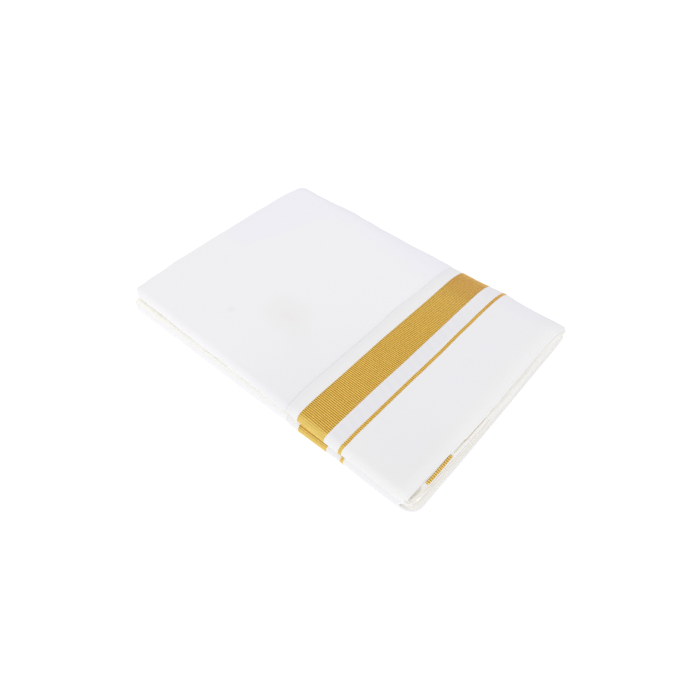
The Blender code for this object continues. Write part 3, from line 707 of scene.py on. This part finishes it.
layer_loops = [layer_loop(layer) for layer in range(len(LAYER_LEVELS))]
hidden = outwards(hidden_layers())

# %% [markdown]
# ## Woven gold
# In the border, gold threads lie side by side along the cloth and jump over thick weft cords. Each
# jump, called a float, is a small bright grain, and the row of floats over one cord is a rib. The
# grains of the next rib sit a little aside. That is a rule, so Geometry Nodes make it: the script
# gives a point for each float, with the way the cloth faces and the way the thread runs, and the
# node tree puts a grain on each point over a thin ground strip.

# %% Node tree for the floats
RIB_PITCH = 1.9 * MM
THREAD_PITCH = 0.9 * MM
FLOAT_HEIGHT = 0.38 * MM
FLOAT_WIDTH, FLOAT_LENGTH = 1.12, 0.94   # shares of the pitches
FLOAT_TONES = (0.68, 0.90)
GROUND_LIFT = 0.07 * MM      # thickness of the ground strip under the floats


def add_node(tree, kind, links=None, **settings):
    """One node. links names its inputs, with a value or another node's output for each."""
    node = tree.nodes.new(kind)
    for name, value in settings.items():
        setattr(node, name, value)
    connect(tree, node, links or {})
    return node


def connect(tree, node, links):
    for name, value in links.items():
        if isinstance(value, bpy.types.NodeSocket):
            tree.links.new(value, node.inputs[name])
        else:
            node.inputs[name].default_value = value


def float_tree():
    """Geometry Nodes: a grain on every point whose float attribute is 1, the rest left as it is."""
    tree = bpy.data.node_groups.new("zari floats", "GeometryNodeTree")
    for name, kind in (("Cloth", "Geometry"), ("Float width", "Float"), ("Float length", "Float"),
                       ("Float height", "Float"), ("Tone seed", "Int"), ("Thread", "Material")):
        tree.interface.new_socket(name, in_out="INPUT", socket_type="NodeSocket" + kind)
    tree.interface.new_socket("Zari", in_out="OUTPUT", socket_type="NodeSocketGeometry")

    def part(kind, output, links, **settings):
        return add_node(tree, kind, links, **settings).outputs[output]

    given = add_node(tree, "NodeGroupInput").outputs
    named = {name: part("GeometryNodeInputNamedAttribute", "Attribute", {"Name": name}, data_type=kind)
             for name, kind in (("float", "FLOAT"), ("facing", "FLOAT_VECTOR"), ("forth", "FLOAT_VECTOR"))}
    parted = add_node(tree, "GeometryNodeSeparateGeometry",
                      {"Geometry": given["Cloth"], "Selection": named["float"]}).outputs
    ball = part("GeometryNodeMeshUVSphere", "Mesh", {"Segments": 6, "Rings": 3, "Radius": 0.5})
    size = part("ShaderNodeCombineXYZ", "Vector", {
        "X": given["Float width"], "Y": given["Float height"], "Z": given["Float length"]})
    grain = part("GeometryNodeTransform", "Geometry", {
        "Geometry": ball, "Scale": size, "Rotation": (np.pi / 2, 0.0, 0.0)})
    up = part("FunctionNodeAlignRotationToVector", "Rotation", {"Vector": named["facing"]}, axis="Z")
    turned = part("FunctionNodeAlignRotationToVector", "Rotation",
                  {"Rotation": up, "Vector": named["forth"]}, axis="Y", pivot_axis="Z")
    placed = part("GeometryNodeInstanceOnPoints", "Instances", {
        "Points": parted["Selection"], "Instance": grain, "Rotation": turned})
    tone = part("FunctionNodeRandomValue", 1, {
        2: FLOAT_TONES[0], 3: FLOAT_TONES[1], "Seed": given["Tone seed"]}, data_type="FLOAT")
    toned = part("GeometryNodeStoreNamedAttribute", "Geometry",
                 {"Geometry": placed, "Name": "tone", "Value": tone}, data_type="FLOAT", domain="INSTANCE")
    real = part("GeometryNodeRealizeInstances", "Geometry", {"Geometry": toned})
    joined = add_node(tree, "GeometryNodeJoinGeometry")
    for piece in (parted["Inverted"], real):
        tree.links.new(piece, joined.inputs["Geometry"])
    finished = part("GeometryNodeSetMaterial", "Geometry", {
        "Geometry": joined.outputs["Geometry"], "Material": given["Thread"]})
    add_node(tree, "NodeGroupOutput", {"Zari": finished})
    return tree


floats = float_tree()
print("float tree:", len(floats.nodes), "nodes")


# %% Points for the floats, and the ground strip below them
def strip_object(name, ground, spots, facing, forth):
    """A thin closed ground strip from two grids of points, and a loose point for each float."""
    outer, inner = np.array(ground)
    made = close_shell(name, outer, (outer + inner) / 2, inner, np.zeros(outer.shape[:2] + (2,)))
    mesh = made.data
    count = len(mesh.vertices)
    mesh.vertices.add(len(spots))
    points = np.empty((len(mesh.vertices), 3), np.float32)
    mesh.vertices.foreach_get("co", points.ravel())
    points[count:] = spots
    mesh.vertices.foreach_set("co", points.ravel())
    for label, values in (("facing", facing), ("forth", forth), ("float", [1.0] * len(spots))):
        values = np.array(values)
        keep_values(mesh, label, np.concatenate([np.zeros((count,) + values.shape[1:]), values]))
    return made


def weave(source, name, thread, seed, width, length):
    """Run the float tree on a strip and keep the result as a plain mesh."""
    modifier = source.modifiers.new("floats", "NODES")
    modifier.node_group = floats
    values = {"Float width": width * FLOAT_WIDTH, "Float length": length * FLOAT_LENGTH,
              "Float height": FLOAT_HEIGHT, "Tone seed": seed, "Thread": thread}
    for item in floats.interface.items_tree:
        if item.name in values:
            modifier[item.identifier] = values[item.name]
    depsgraph = bpy.context.evaluated_depsgraph_get()
    mesh = bpy.data.meshes.new_from_object(source.evaluated_get(depsgraph), depsgraph=depsgraph)
    bpy.data.objects.remove(source)
    made = bpy.data.objects.new(name, mesh)
    bpy.context.scene.collection.objects.link(made)
    mesh.name = name
    mesh.shade_smooth()
    print("%s: %d triangles" % (name, sum(len(face.vertices) - 2 for face in mesh.polygons)))
    return made


# %% [markdown]
# ## Helpers for materials
# Colours are given as the hex values a screen shows and are turned to linear light by one function.
# A material starts from what the real thing is, and its patterns are measured in millimetres of
# cloth, from the UV map that the shells carry.

# %% Colour and pattern helpers
def linear(hex_colour):
    channels = [int(hex_colour[i:i + 2], 16) / 255.0 for i in (1, 3, 5)]
    return tuple(c / 12.92 if c <= 0.04045 else ((c + 0.055) / 1.055) ** 2.4 for c in channels) + (1.0,)


class Finish:
    """A material, its colour so far, and short names for the nodes that draw its patterns."""

    def __init__(self, name, values):
        self.material = bpy.data.materials.new(name)
        self.material.use_nodes = True
        self.tree = self.material.node_tree
        self.colour = None
        self.put(values)

    def put(self, values):
        """Values, or other nodes' outputs, for the shader's sockets."""
        connect(self.tree, self.tree.nodes["Principled BSDF"], values)

    def node(self, kind, links=None, **settings):
        return add_node(self.tree, kind, links, **settings)

    def maths(self, operation, *values):
        return self.node("ShaderNodeMath", dict(enumerate(values)), operation=operation).outputs["Value"]

    def times(self, first, second):
        return self.maths("MULTIPLY", first, second)

    def rise(self, place, start, end, low=0.0, high=1.0):
        """A smooth step from low to high between two places."""
        return self.node("ShaderNodeMapRange", {0: place, 1: start, 2: end, 3: low, 4: high},
                         interpolation_type="SMOOTHSTEP").outputs[0]

    def between(self, place, low, high, soft):
        """1 between two places, with soft edges."""
        opened = self.rise(place, low - soft, low + soft)
        return self.times(opened, self.rise(place, high - soft, high + soft, 1.0, 0.0))

    def spot(self, places, centre, radii, level=False):
        """1 at a centre, fading out like a bell at the radii. A level spot is flat in the middle."""
        square = 0.0
        for place, middle, radius in zip(places, centre, radii):
            share = self.maths("DIVIDE", self.maths("SUBTRACT", place, middle), radius)
            square = self.maths("MULTIPLY_ADD", share, share, square)
        if level:
            square = self.times(square, square)
        return self.maths("EXPONENT", self.times(square, -1.0))

    def noise(self, stretch, scale):
        """Noise with so many grains to the millimetre of cloth."""
        placed = self.node("ShaderNodeMapping", {"Vector": self.places, "Scale": stretch})
        return self.node("ShaderNodeTexNoise", {
            "Vector": placed.outputs["Vector"], "Scale": scale, "Detail": 2.0}).outputs["Fac"]

    def blend(self, factor, hex_colour, mode="MIX"):
        self.colour = self.node("ShaderNodeMix", {0: factor, 6: self.colour, 7: linear(hex_colour)},
                                data_type="RGBA", blend_type=mode).outputs[2]

    def tint(self, mask, strength, hex_colour):
        """Lay a colour over the cloth where a mask is 1."""
        self.blend(self.times(mask, strength), hex_colour)


# %% [markdown]
# ## Cotton
# Fine cotton of this kind has about thirty threads to the centimetre. The weave is drawn a little
# coarser, with twenty-two, as a very low relief: warp and weft waves multiplied give the chequer of
# a plain weave. Slubs, the thicker places of spun yarn, make faint streaks both ways. Cotton has no
# gloss, only a little sheen from its fibre ends.

# %% Cotton material
WEAVE_PITCH = 0.9            # mm over two threads, one above and one below
WEAVE_RELIEF = 0.05          # mm
SLUB_SCALE, SLUB_RELIEF = 0.9, 0.7
STREAKS = ((1.0, 0.05, 1.0), (0.05, 1.0, 1.0))   # slubs are drawn out along the warp and the weft
EVEN = (1.0, 1.0, 1.0)
PATCH_SCALE = 0.02
SHADE_GAIN, SHADE_START = 0.4, -0.25   # how far slubs and patches bring the warm tone out
# columns: run of the slit's mouth, start and end from there, softness, all in mm, of the painted light beside
# the slit
SLIT_LIGHT_RUNS = ((run_at("upper nose", 0.0) / MM, -8.0, 1.0, 2.0),
             (run_at("lower nose", 1.0) / MM, -3.0, 8.0, 3.0))
FAR_SIDE_RUNS = [run_at("far above", 1.0) / MM, run_at("far below", 1.0) / MM]


def cotton(name, colour, warm):
    """Plain-weave cotton. warm is its tone where slubs and wear show."""
    made = Finish(name, {"Roughness": 0.9, "Specular IOR Level": 0.25, "Sheen Weight": 0.12,
                         "Sheen Roughness": 0.6})
    uv = made.node("ShaderNodeUVMap", uv_map="cloth").outputs["UV"]
    made.places = made.node("ShaderNodeVectorMath", {0: uv, "Scale": 1 / MM}, operation="SCALE").outputs[0]
    made.u, made.v = made.node("ShaderNodeSeparateXYZ", {0: made.places}).outputs[:2]
    warp, weft = (made.maths("SINE", made.times(way, 2 * np.pi / WEAVE_PITCH)) for way in (made.u, made.v))
    slubs = made.maths("ADD", *(made.noise(streak, SLUB_SCALE) for streak in STREAKS))
    patches = made.noise(EVEN, PATCH_SCALE)
    height = made.maths("MULTIPLY_ADD", slubs, SLUB_RELIEF, made.times(warp, weft))
    bump = made.node("ShaderNodeBump", {"Strength": 0.35, "Distance": WEAVE_RELIEF * MM, "Height": height})
    shade = made.maths("MULTIPLY_ADD", made.maths("ADD", slubs, patches), SHADE_GAIN, SHADE_START)
    made.colour = linear(colour)
    made.blend(shade, warm)
    made.put({"Normal": bump.outputs["Normal"]})
    return made


def on_far_side(made, mask):
    """A mask on the top, ending where the far fold turns under."""
    return made.times(mask, made.rise(made.v, *FAR_SIDE_RUNS, 1.0, 0.0))


def paint_slit_light(made):
    """Painted light: the folds beside the slit are drawn brighter and a little warmer, for light that passes
    between the thin plies.
    """
    masks = [made.between(made.v, mouth + start, mouth + end, soft) for mouth, start, end, soft in SLIT_LIGHT_RUNS]
    made.tint(made.maths("MAXIMUM", *masks), 1.0, "#FCFBF3")


# %% [markdown]
# ## Painted shade and marks on the ground
# The far side of the top, and a wide patch at its left corner where it droops, are drawn bluer and a
# little darker: painted shade where the cloth turns away from the light. Towards the border the
# ground is drawn a little greyer, also painted shade, and a faint bluish line of painted shade runs
# in the groove beside the selvedge. One place is slightly greyish with a warmer middle, and near it
# lies a small faint speck. All of them sit at fixed places on the cloth, in millimetres from the
# left edge and from the near fold.

# %% Painted blue shade, stain and speck
BLUE_SHADE_EDGE = (30.0, 76.0, 112.0, 206.0)   # from one distance to another, the blue's start moves so
SELVEDGE_SLANT = -5.0 / 215.0
# columns: centre, radii, whether it is level in the middle, strength, colour
GROUND_SPOTS = (((143.0, 76.0), (27.0, 21.0), True, 0.75, "#EDECEC"),
                ((173.0, 64.0), (15.0, 13.0), True, 0.5, "#ECEBEC"),
                ((146.0, 74.0), (9.0, 5.5), True, 0.6, "#EEE8EA"),
                ((96.5, 44.5), (3.2, 2.8), False, 0.35, "#E0E0E4"))

ground = cotton("cotton, bleached plain weave", "#F1F1F4", "#EFEEEF")
beyond = ground.maths("SUBTRACT", ground.v, ground.rise(ground.u, *BLUE_SHADE_EDGE))
# painted shade: bluer and darker beyond a line from the left corner to the far side
ground.tint(on_far_side(ground, ground.rise(beyond, -14.0, 14.0)), 0.7, "#EEEDF5")
# painted shade: darker and bluer where the far fold rolls down
ground.tint(on_far_side(ground, ground.rise(ground.v, 218.0, 240.0)), 0.3, "#ECEAF2")
# painted shade: a little greyer towards the border
ground.tint(ground.spot((ground.u, ground.v), (222.0, 10.0), (62.0, 100.0)), 0.45, "#E7E7EA")
beside_selvedge = ground.maths("MULTIPLY_ADD", ground.v, SELVEDGE_SLANT, ground.u)
# painted shade: a faint bluish line in the groove beside the selvedge
ground.tint(ground.spot((beside_selvedge,), (215.0,), (6.5,)), 0.25, "#E5E4EB")
for centre, radii, level, strength, colour in GROUND_SPOTS:
    ground.tint(ground.spot((ground.u, ground.v), centre, radii, level), strength, colour)
# painted light beside the slit
paint_slit_light(ground)
ground.put({"Base Color": ground.colour})

# %% [markdown]
# ## The border's ground
# Between the band and the line the cotton is drawn greyer and bluer, and more so in short slanting
# bands at the puckers that the pull of the gold thread makes: painted shade of the puckers. The
# flap's near part, its far side where the far fold turns down, and a faint line beside the selvedge
# are drawn a little greyer and bluer too, all painted shade. Beyond the thin line the flap is drawn
# a little bluer. Under the packet the gold is flat in the cotton, as a mask, because nothing is seen
# of its ribs there.

# %% Tints of the border, in mm from the selvedge
PUCKER_PITCH, PUCKER_SLANT = 9.6, 0.45   # mm along the cloth, mm for each mm across
GOLD_PLACES = ((13.9, 45.6), (60.6, 63.8))   # of the band and the line
GOLD_UNDER = run_at("far below", 0.66), run_at("lower nose", 0.22)   # from one run to the other, in m

border = cotton("cotton, border ground", "#EDEDEE", "#EBEAEB")
u, v = border.u, border.v
# painted shade: the flap's near part drawn a little greyer
border.tint(border.spot((u, v), (105.0, 38.0), (44.0, 31.0), True), 0.6, "#E8E8E8")
# painted shade: darker and bluer where the far fold turns down
border.tint(on_far_side(border, border.rise(v, 205.0, 228.0)), 0.35, "#E9E8EF")
# painted shade: a faint bluish line in the groove beside the selvedge
border.tint(border.spot((u,), (0.0,), (5.5,)), 0.2, "#E5E4EB")
# painted shade of the puckers between the band and the line, in slanting bands
slant = border.maths("MULTIPLY_ADD", u, PUCKER_SLANT, v)
pulled = border.maths("SINE", border.times(slant, 2 * np.pi / PUCKER_PITCH))
pulled = border.maths("MULTIPLY_ADD", border.times(pulled, border.noise(EVEN, 0.12)), 0.3, 0.85)
pucker_shade = border.times(border.between(u, 46.3, 61.5, 1.6), pulled)
pucker_shade = border.times(pucker_shade, border.rise(v, -2.0, 12.0, 0.1, 1.0))
pucker_shade = border.times(pucker_shade, border.rise(v, 150.0, 200.0, 1.0, 0.7))
border.tint(pucker_shade, 0.66, "#E3E2E8")
# drawn a little bluer beyond the thin line, from a little behind the near fold
cool = border.times(border.between(u, 66.0, 112.0, 14.0), border.rise(v, 2.0, 40.0))
border.tint(cool, 0.35, "#ECECF4")
# painted light beside the slit
paint_slit_light(border)
across = border.maths("MAXIMUM", *(border.between(u, *place, 0.2) for place in GOLD_PLACES))
flat_gold = border.times(across, border.between(v, *(run / MM for run in GOLD_UNDER), 0.2))
border.tint(flat_gold, 1.0, "#D5A33F")
border.put({"Base Color": border.colour, "Metallic": border.times(flat_gold, 0.5)})

# %% Inner layers, with painted warm shade in their crevices but for the far end
CREVICE_SHADE_UNTIL = (FAR - 0.07, FAR - 0.02)

inner = cotton("cotton, inner layers", "#EFEEEC", "#EBE9E3")
crevice = inner.node("ShaderNodeAttribute", attribute_name="crevice").outputs["Fac"]
here = inner.node("ShaderNodeTexCoord").outputs["Object"]
across = inner.node("ShaderNodeSeparateXYZ", {0: here}).outputs["Y"]
# painted shade: the crevices between the lips are drawn darker and warmer
crevice_shade = inner.times(inner.times(crevice, inner.noise(EVEN, 0.03)),
                   inner.rise(across, *CREVICE_SHADE_UNTIL, 1.0, 0.1))
inner.tint(crevice_shade, 0.45, "#D6CBB4")
inner.put({"Base Color": inner.colour})
for made, finish in ((body_panel, ground), (border_flap, border), (hidden, inner)):
    made.data.materials.append(finish.material)
print("cotton materials ready")

# %% [markdown]
# ## Zari
# Zari is a fine flattened metal strip wound round a yellow silk or polyester core. It shines like
# brushed metal along its many small windings: metallic, but not a mirror. Between the floats the
# ground is dark gold, and each float has its own tone. The near folds get a painted highlight,
# brighter and yellower, except in the shade between them, and the far end is drawn a little paler
# and darker as painted shade.

# %% Gold thread
WINDING_PITCH, WINDING_RELIEF = 0.4 * MM, 0.03 * MM
WAVE_TEXTURE_PERIOD = 2 * np.pi / 20   # a wave texture's bands repeat so often at scale 1
# where the painted shade towards the far fold lies
FAR_PALE_SHADE_FROM, FAR_SHADE_FROM, FAR_SHADE_TO = NEAR + 0.14, NEAR + 0.19, NEAR + 0.23
# where the painted highlight on the near folds lies
HIGHLIGHT_FROM, HIGHLIGHT_TO = NEAR + 0.006, NEAR + 0.002
SHADE_HEIGHTS = ((0.009, 0.012), (0.0165, 0.014))   # where the shade begins below, and ends above


def zari_thread(name, dark, plain_gold, bright):
    made = Finish(name, {"Metallic": 0.7, "Roughness": 0.38})
    tone = made.node("ShaderNodeAttribute", attribute_name="tone").outputs["Fac"]
    ramp = made.node("ShaderNodeValToRGB", {"Fac": tone})
    tones = ramp.color_ramp.elements
    tones[0].color, tones[1].color = linear(dark), linear(bright)
    tones.new(0.45).color = linear(plain_gold)
    place = made.node("ShaderNodeTexCoord").outputs["Object"]
    windings = made.node("ShaderNodeTexWave", {
        "Vector": place, "Scale": WAVE_TEXTURE_PERIOD / WINDING_PITCH, "Distortion": 1.5,
        "Detail": 1.0}, bands_direction="Y")
    bump = made.node("ShaderNodeBump", {
        "Strength": 0.3, "Distance": WINDING_RELIEF, "Height": windings.outputs["Fac"]})
    _, y, height = made.node("ShaderNodeSeparateXYZ", {0: place}).outputs
    made.colour = ramp.outputs["Color"]
    # painted shade: the gold is drawn a little paler and greyer towards the far fold
    made.blend(made.rise(y, FAR_PALE_SHADE_FROM, FAR, 0.0, 0.07), "#B9A3A6")
    # painted shade: darker where the band turns down over the far fold
    made.blend(made.rise(y, FAR_SHADE_FROM, FAR_SHADE_TO), "#F4EAE8", "MULTIPLY")
    # painted highlight: brighter yellow on the near folds, taken out again in the shade between them
    on_fold = made.rise(y, HIGHLIGHT_FROM, HIGHLIGHT_TO, 0.0, 0.6)
    in_shade = made.times(*(made.rise(height, *steps) for steps in SHADE_HEIGHTS))
    made.blend(made.maths("MULTIPLY_ADD", made.times(in_shade, on_fold), -0.8, on_fold), "#F6DF83")
    made.put({"Base Color": made.colour, "Normal": bump.outputs["Normal"]})
    return made.material


gold = zari_thread("zari, gold thread woven", "#9C701E", "#FFC955", "#FFDE74")
# painted light: the bar's gold is drawn lighter, against the shade of the plies that overhang it
bar_gold_painted_light = zari_thread("zari, gold thread drawn lighter", "#AC7E2C", "#FFCC5E", "#FFE082")


# %% [markdown]
# ## The band and the thin line
# Both follow the flap's own face, so they ride every crease with it. They start inside the slit,
# round the upper fold, cross the top and go over the far fold, and show again on the lower fold.

# %% Zari along the border
SLIT_REACH = 9 * MM          # how far the gold is followed into the slit
STRIP_STEP = 0.4 * MM        # for measuring the way that the thread runs
RIB_SHIFT = 0.12             # each rib's floats sit so far aside, as a share of the pitch
NARROW = 4                   # threads in a strip that counts as narrow
NARROW_LENGTH = 1.12         # its floats are longer
WIDE_COLUMNS, NARROW_COLUMNS = 9, 3   # points across the ground strip
STRIP_FOOT = 0.01 * MM       # lift of the strip's lower face


def flap_face(x, run, lift):
    stretch, share = row_at(run)
    y, z = section_point(x, stretch, share, flap_cover(x, stretch, share, run) - lift)
    return np.stack([x, y, z], axis=-1)


def unit(vectors):
    return vectors / np.linalg.norm(vectors, axis=-1, keepdims=True)


def zari_strip(name, start, end, edge_rows, seed, threads):
    """A strip of gold from one run to another, its left edge and its width read from a table of runs."""
    ribs = round((end - start) / RIB_PITCH)
    ground, spots, facing, forth = ([], []), [], [], []
    for half in range(2 * ribs + 1):
        run = mix(start, end, half / (2 * ribs))
        left = LEFT + read_rows(edge_rows, run / MM) * MM
        width = read_rows(edge_rows, run / MM, 2) * MM
        pitch = width / threads
        across = np.linspace(left, left + width, WIDE_COLUMNS if threads > NARROW else NARROW_COLUMNS)
        for side, lift in zip(ground, (GROUND_LIFT, STRIP_FOOT)):
            side.append(flap_face(across, run, lift))
        if half % 2 == 0:
            continue
        aside = RIB_SHIFT * pitch * (1 if half % 4 == 1 else -1)
        x = left + (np.arange(threads) + 0.5) * pitch + aside
        ahead = unit(flap_face(x, run + STRIP_STEP, GROUND_LIFT)
                     - flap_face(x, run - STRIP_STEP, GROUND_LIFT))
        sideways = (flap_face(x + STRIP_STEP, run, GROUND_LIFT)
                    - flap_face(x - STRIP_STEP, run, GROUND_LIFT))
        spots.append(flap_face(x, run, GROUND_LIFT))
        forth.append(ahead)
        facing.append(unit(np.cross(sideways, ahead)))
    spots, facing, forth = (np.concatenate(part) for part in (spots, facing, forth))
    source = strip_object(name + "_ground", ground, spots, facing, forth)
    length = RIB_PITCH * (1.0 if threads > NARROW else NARROW_LENGTH)
    return weave(source, name, gold, seed, pitch, length)


upper_start, upper_end = run_at("upper nose", 0.0) - SLIT_REACH, GOLD_UNDER[0]
lower_start, lower_end = GOLD_UNDER[1], run_at("lower nose", 1.0) + SLIT_REACH
band_threads, line_threads = (round(rows[0][2] * MM / THREAD_PITCH) for rows in (BAND_ROWS, LINE_ROWS))
band_upper = zari_strip("zari_band_top", upper_start, upper_end, BAND_ROWS, 3, band_threads)
band_lower = zari_strip("zari_band_under_fold", lower_start, lower_end, BAND_ROWS, 5, band_threads)
line_upper = zari_strip("zari_line_top", upper_start, upper_end, LINE_ROWS, 7, line_threads)
line_lower = zari_strip("zari_line_under_fold", lower_start, lower_end, LINE_ROWS, 11, line_threads)
print("gold threads: %d in the band, %d in the line" % (band_threads, line_threads))

# %% [markdown]
# ## A woven bar at the right end
# Near the right end the uppermost layers are pulled back, and a short length of a gold bar shows on
# the layer below them: two rows of floats on a narrow ledge. Its gold is drawn lighter than the
# band's, as painted light against the shade of the plies above it. Loose zari ends, most of them
# tarnished, lie on both sides of it in the groove at the foot of the outer ply, and in the slit; they
# are dark, and also stand in for the warm shade line in that groove and in the slit.

# %% Gold on the ledge
BAR_START, BAR_LENGTH = 24 * MM, 33 * MM      # from the upper near fold
BAR_REACH, BAR_WIDTH = 0.25 * MM, 2.9 * MM    # from the ledge's edge inwards
BAR_LIFT = 0.06 * MM
BAR_FLOAT = 2.2 * MM
BAR_ROWS = (0.27, 0.73)                       # shares of its width
BAR_OVERLAP = 1.06
BAR_COLUMNS = 4              # points across its ground strip
LEDGE_LAYER = 1
# columns: which groove, 1 for gold or 0 for tarnished, start and end from the near fold, distance
# inwards, lift, thickness, all in mm
THREAD_ENDS = (("ledge", 0, 60.0, 76.0, 1.5, 0.06, 0.24), ("ledge", 1, 74.0, 106.0, 1.2, 0.06, 0.22),
               ("ledge", 0, 104.0, 122.0, 1.3, 0.06, 0.24), ("ledge", 0, 4.0, 17.0, 2.0, 0.06, 0.30),
               ("ledge", 0, 6.0, 19.0, 2.9, 0.06, 0.30), ("slit", 1, 20.0, 62.0, 0.4, 0.05, 0.14),
               ("slit", 1, 60.0, 112.0, 0.4, 0.05, 0.10))
THREAD_STEP = 1.2            # mm
THREAD_CURL, CURL_LENGTH = 0.25, 2.7   # mm, and mm for one radian
# the loose ends are dark, partly as painted shade: they also stand in for the warm shade line at the foot of
# the outer ply and in the slit
THREAD_TONE = 0.2


def slit_point(y, inwards, lift):
    """A place on the lower face of the slit."""
    centre = near_fold(RIGHT, False)[0]
    share = np.clip((y - centre) / (INNER_TURN - centre), 0.0, 1.0)
    x = ply_end("right", "lower tuck", share) - inwards
    return np.array([x, y, slit_faces(x)[0] + lift])


def ledge_point(y, inwards, lift):
    """A place on the upper face of the layer that forms the ledge."""
    near, far = (section_point(RIGHT, "top", share, 0.0)[0] for share in (0.0, 1.0))
    share = np.clip((y - near) / (far - near), 0.0, 1.0)
    x = layer_end("right", "top", share, LEDGE_LAYER, y - NEAR) - inwards
    room = group_half(x, "top", share) - CORE_DEPTH - CORE_GAP
    return np.array([x, y, roof(x, y) - CORE_DEPTH - LAYER_LEVELS[LEDGE_LAYER][0] * room + lift])


def end_bar():
    pieces = round(BAR_LENGTH / BAR_FLOAT)
    ground, spots = ([], []), []
    for half in range(2 * pieces + 1):
        y = NEAR + BAR_START + BAR_LENGTH * half / (2 * pieces)
        places = np.linspace(BAR_REACH + BAR_WIDTH, BAR_REACH, BAR_COLUMNS)
        for side, lift in zip(ground, (BAR_LIFT + GROUND_LIFT, BAR_LIFT)):
            side.append([ledge_point(y, place, lift) for place in places])
        if half % 2:
            spots += [ledge_point(y, BAR_REACH + BAR_WIDTH * share, BAR_LIFT + GROUND_LIFT)
                      for share in BAR_ROWS]
    source = strip_object("zari_bar_ground", ground, spots, [(0.0, 0.0, 1.0)] * len(spots),
                          [(0.0, 1.0, 0.0)] * len(spots))
    return weave(source, "zari_bar", bar_gold_painted_light, 13, BAR_WIDTH / 2 * BAR_OVERLAP, BAR_FLOAT * BAR_OVERLAP)


def thread_tube(points, radius, sides=6):
    """Points and faces of a closed tube along a list of points that runs roughly along y."""
    ring = np.linspace(0.0, 2 * np.pi, sides, endpoint=False)
    rows = [np.stack([p[0] + radius * np.cos(ring), np.full(sides, p[1]), p[2] + radius * np.sin(ring)],
                     axis=-1) for p in points]
    index = np.arange(len(rows) * sides).reshape(len(rows), sides)
    aside = np.roll(index, -1, axis=1)
    faces = np.stack([index[:-1], index[1:], aside[1:], aside[:-1]], -1).reshape(-1, 4).tolist()
    return np.concatenate(rows), faces + [index[0].tolist(), index[-1][::-1].tolist()]


def thread_ends():
    points, faces, finishes, count = [], [], [], 0
    for groove, finish, start, end, inwards, lift, thick in THREAD_ENDS:
        point = ledge_point if groove == "ledge" else slit_point
        places = np.linspace(NEAR + start * MM, NEAR + end * MM, round((end - start) / THREAD_STEP))
        route = [point(y, (inwards + THREAD_CURL * np.sin(y / MM / CURL_LENGTH)) * MM, lift * MM)
                 for y in places]
        tube, sides = thread_tube(route, thick * MM / 2)
        faces += [[corner + count for corner in side] for side in sides]
        points.append(tube)
        finishes += [finish] * len(sides)
        count += len(tube)
    made = mesh_object("zari_thread_ends", np.concatenate(points), faces)
    # tarnished zari, whose dark colour also stands in for shade in the groove
    tarnished = Finish("zari, tarnished thread ends", {
        "Base Color": linear("#BEAE8E"), "Metallic": 0.3, "Roughness": 0.6})
    for finish in (tarnished.material, gold):
        made.data.materials.append(finish)
    made.data.polygons.foreach_set("material_index", finishes)
    keep_values(made.data, "tone", [THREAD_TONE] * count)
    return made


bar = end_bar()
loose_threads = outwards(thread_ends())

# %% [markdown]
# ## What each piece stands for
# Every piece rides on the one body there is and takes the place of its solid, which is hidden. The
# size of each cloth's flat cut is measured here: half the surface of the shell, over its length along
# the ply.

# %% Bodies and flat sizes
def flat_size(made, length):
    width = sum(face.area for face in made.data.polygons) / 2 / length
    print("%s: %.0f x %.0f mm flat" % (made.name, width / MM, length / MM))
    return width, length


ply_length = ply_rows[-1][2] - ply_rows[0][2]
loop_length = 0.0
for grid, _ in layer_loops:
    line = grid[:, FACE_COLUMNS // 2]
    loop_length += np.linalg.norm(np.roll(line, -1, axis=0) - line, axis=1).sum()
for piece, nodes, finish in (
        (body_panel, ("body_panel",), "ground_cotton"), (border_flap, ("border_flap",), "border_cotton"),
        (hidden, ("folded_layers",), "hidden_plies"), (band_upper, ("zari_band_upper",), "zari"),
        (band_lower, ("zari_band_lower",), "zari"), (line_upper, ("zari_line_upper",), "zari"),
        (line_lower, ("zari_line_lower",), "zari"), (bar, ("zari_end_bar",), "zari"),
        (loose_threads, (), "zari")):
    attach(piece, "root")
    if nodes:
        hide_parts(*nodes)
flat_size(body_panel, ply_length)
flat_size(border_flap, ply_length)
flat_size(hidden, loop_length)

# %% [markdown]
# ## Floor, light and camera
# White cloth on white needs light from all round: a light table below, an even white surround, and
# one large soft lamp from the front right that gives the folds their bright edge. The table glows a
# little, so that the packet throws hardly any shadow.

# %% Floor and light
TABLE_SIZE = 8.0
TABLE_GLOW = 0.88
SURROUND = 0.90
LAMP_STRENGTH, LAMP_TURN, LAMP_SPREAD = 0.50, (53.0, 0.0, 46.0), 30.0   # turn and spread in degrees

bpy.ops.mesh.primitive_plane_add(size=TABLE_SIZE)
table = bpy.context.object
table.name = "light_table"
opal = Finish("opal acrylic, lit from below", {
    "Base Color": linear("#7F7F7F"), "Roughness": 0.8, "Specular IOR Level": 0.1,
    "Emission Color": linear("#FFFFFF"), "Emission Strength": TABLE_GLOW})
table.data.materials.append(opal.material)

scene = bpy.context.scene
scene.world = bpy.data.worlds.new("white surround")
scene.world.use_nodes = True
connect(scene.world.node_tree, scene.world.node_tree.nodes["Background"],
        {"Color": linear("#FFFFFF"), "Strength": SURROUND})
lamp = bpy.data.objects.new("front lamp", bpy.data.lights.new("front lamp", "SUN"))
lamp.data.energy = LAMP_STRENGTH
lamp.data.angle = np.radians(LAMP_SPREAD)
lamp.rotation_euler = np.radians(LAMP_TURN)
scene.collection.objects.link(lamp)
scene.view_settings.view_transform = "Standard"

# %% Camera
CAMERA_PLACE = (0.2519, -0.2787, 0.4140)
CAMERA_TURN = (39.58, 0.0, 41.13)   # degrees
CAMERA_LENS = 28.44                 # mm, on a sensor 36 mm wide

camera = bpy.data.objects.new("camera", bpy.data.cameras.new("camera"))
camera.location = CAMERA_PLACE
camera.rotation_euler = np.radians(CAMERA_TURN)
camera.data.lens = CAMERA_LENS
scene.collection.objects.link(camera)
scene.camera = camera
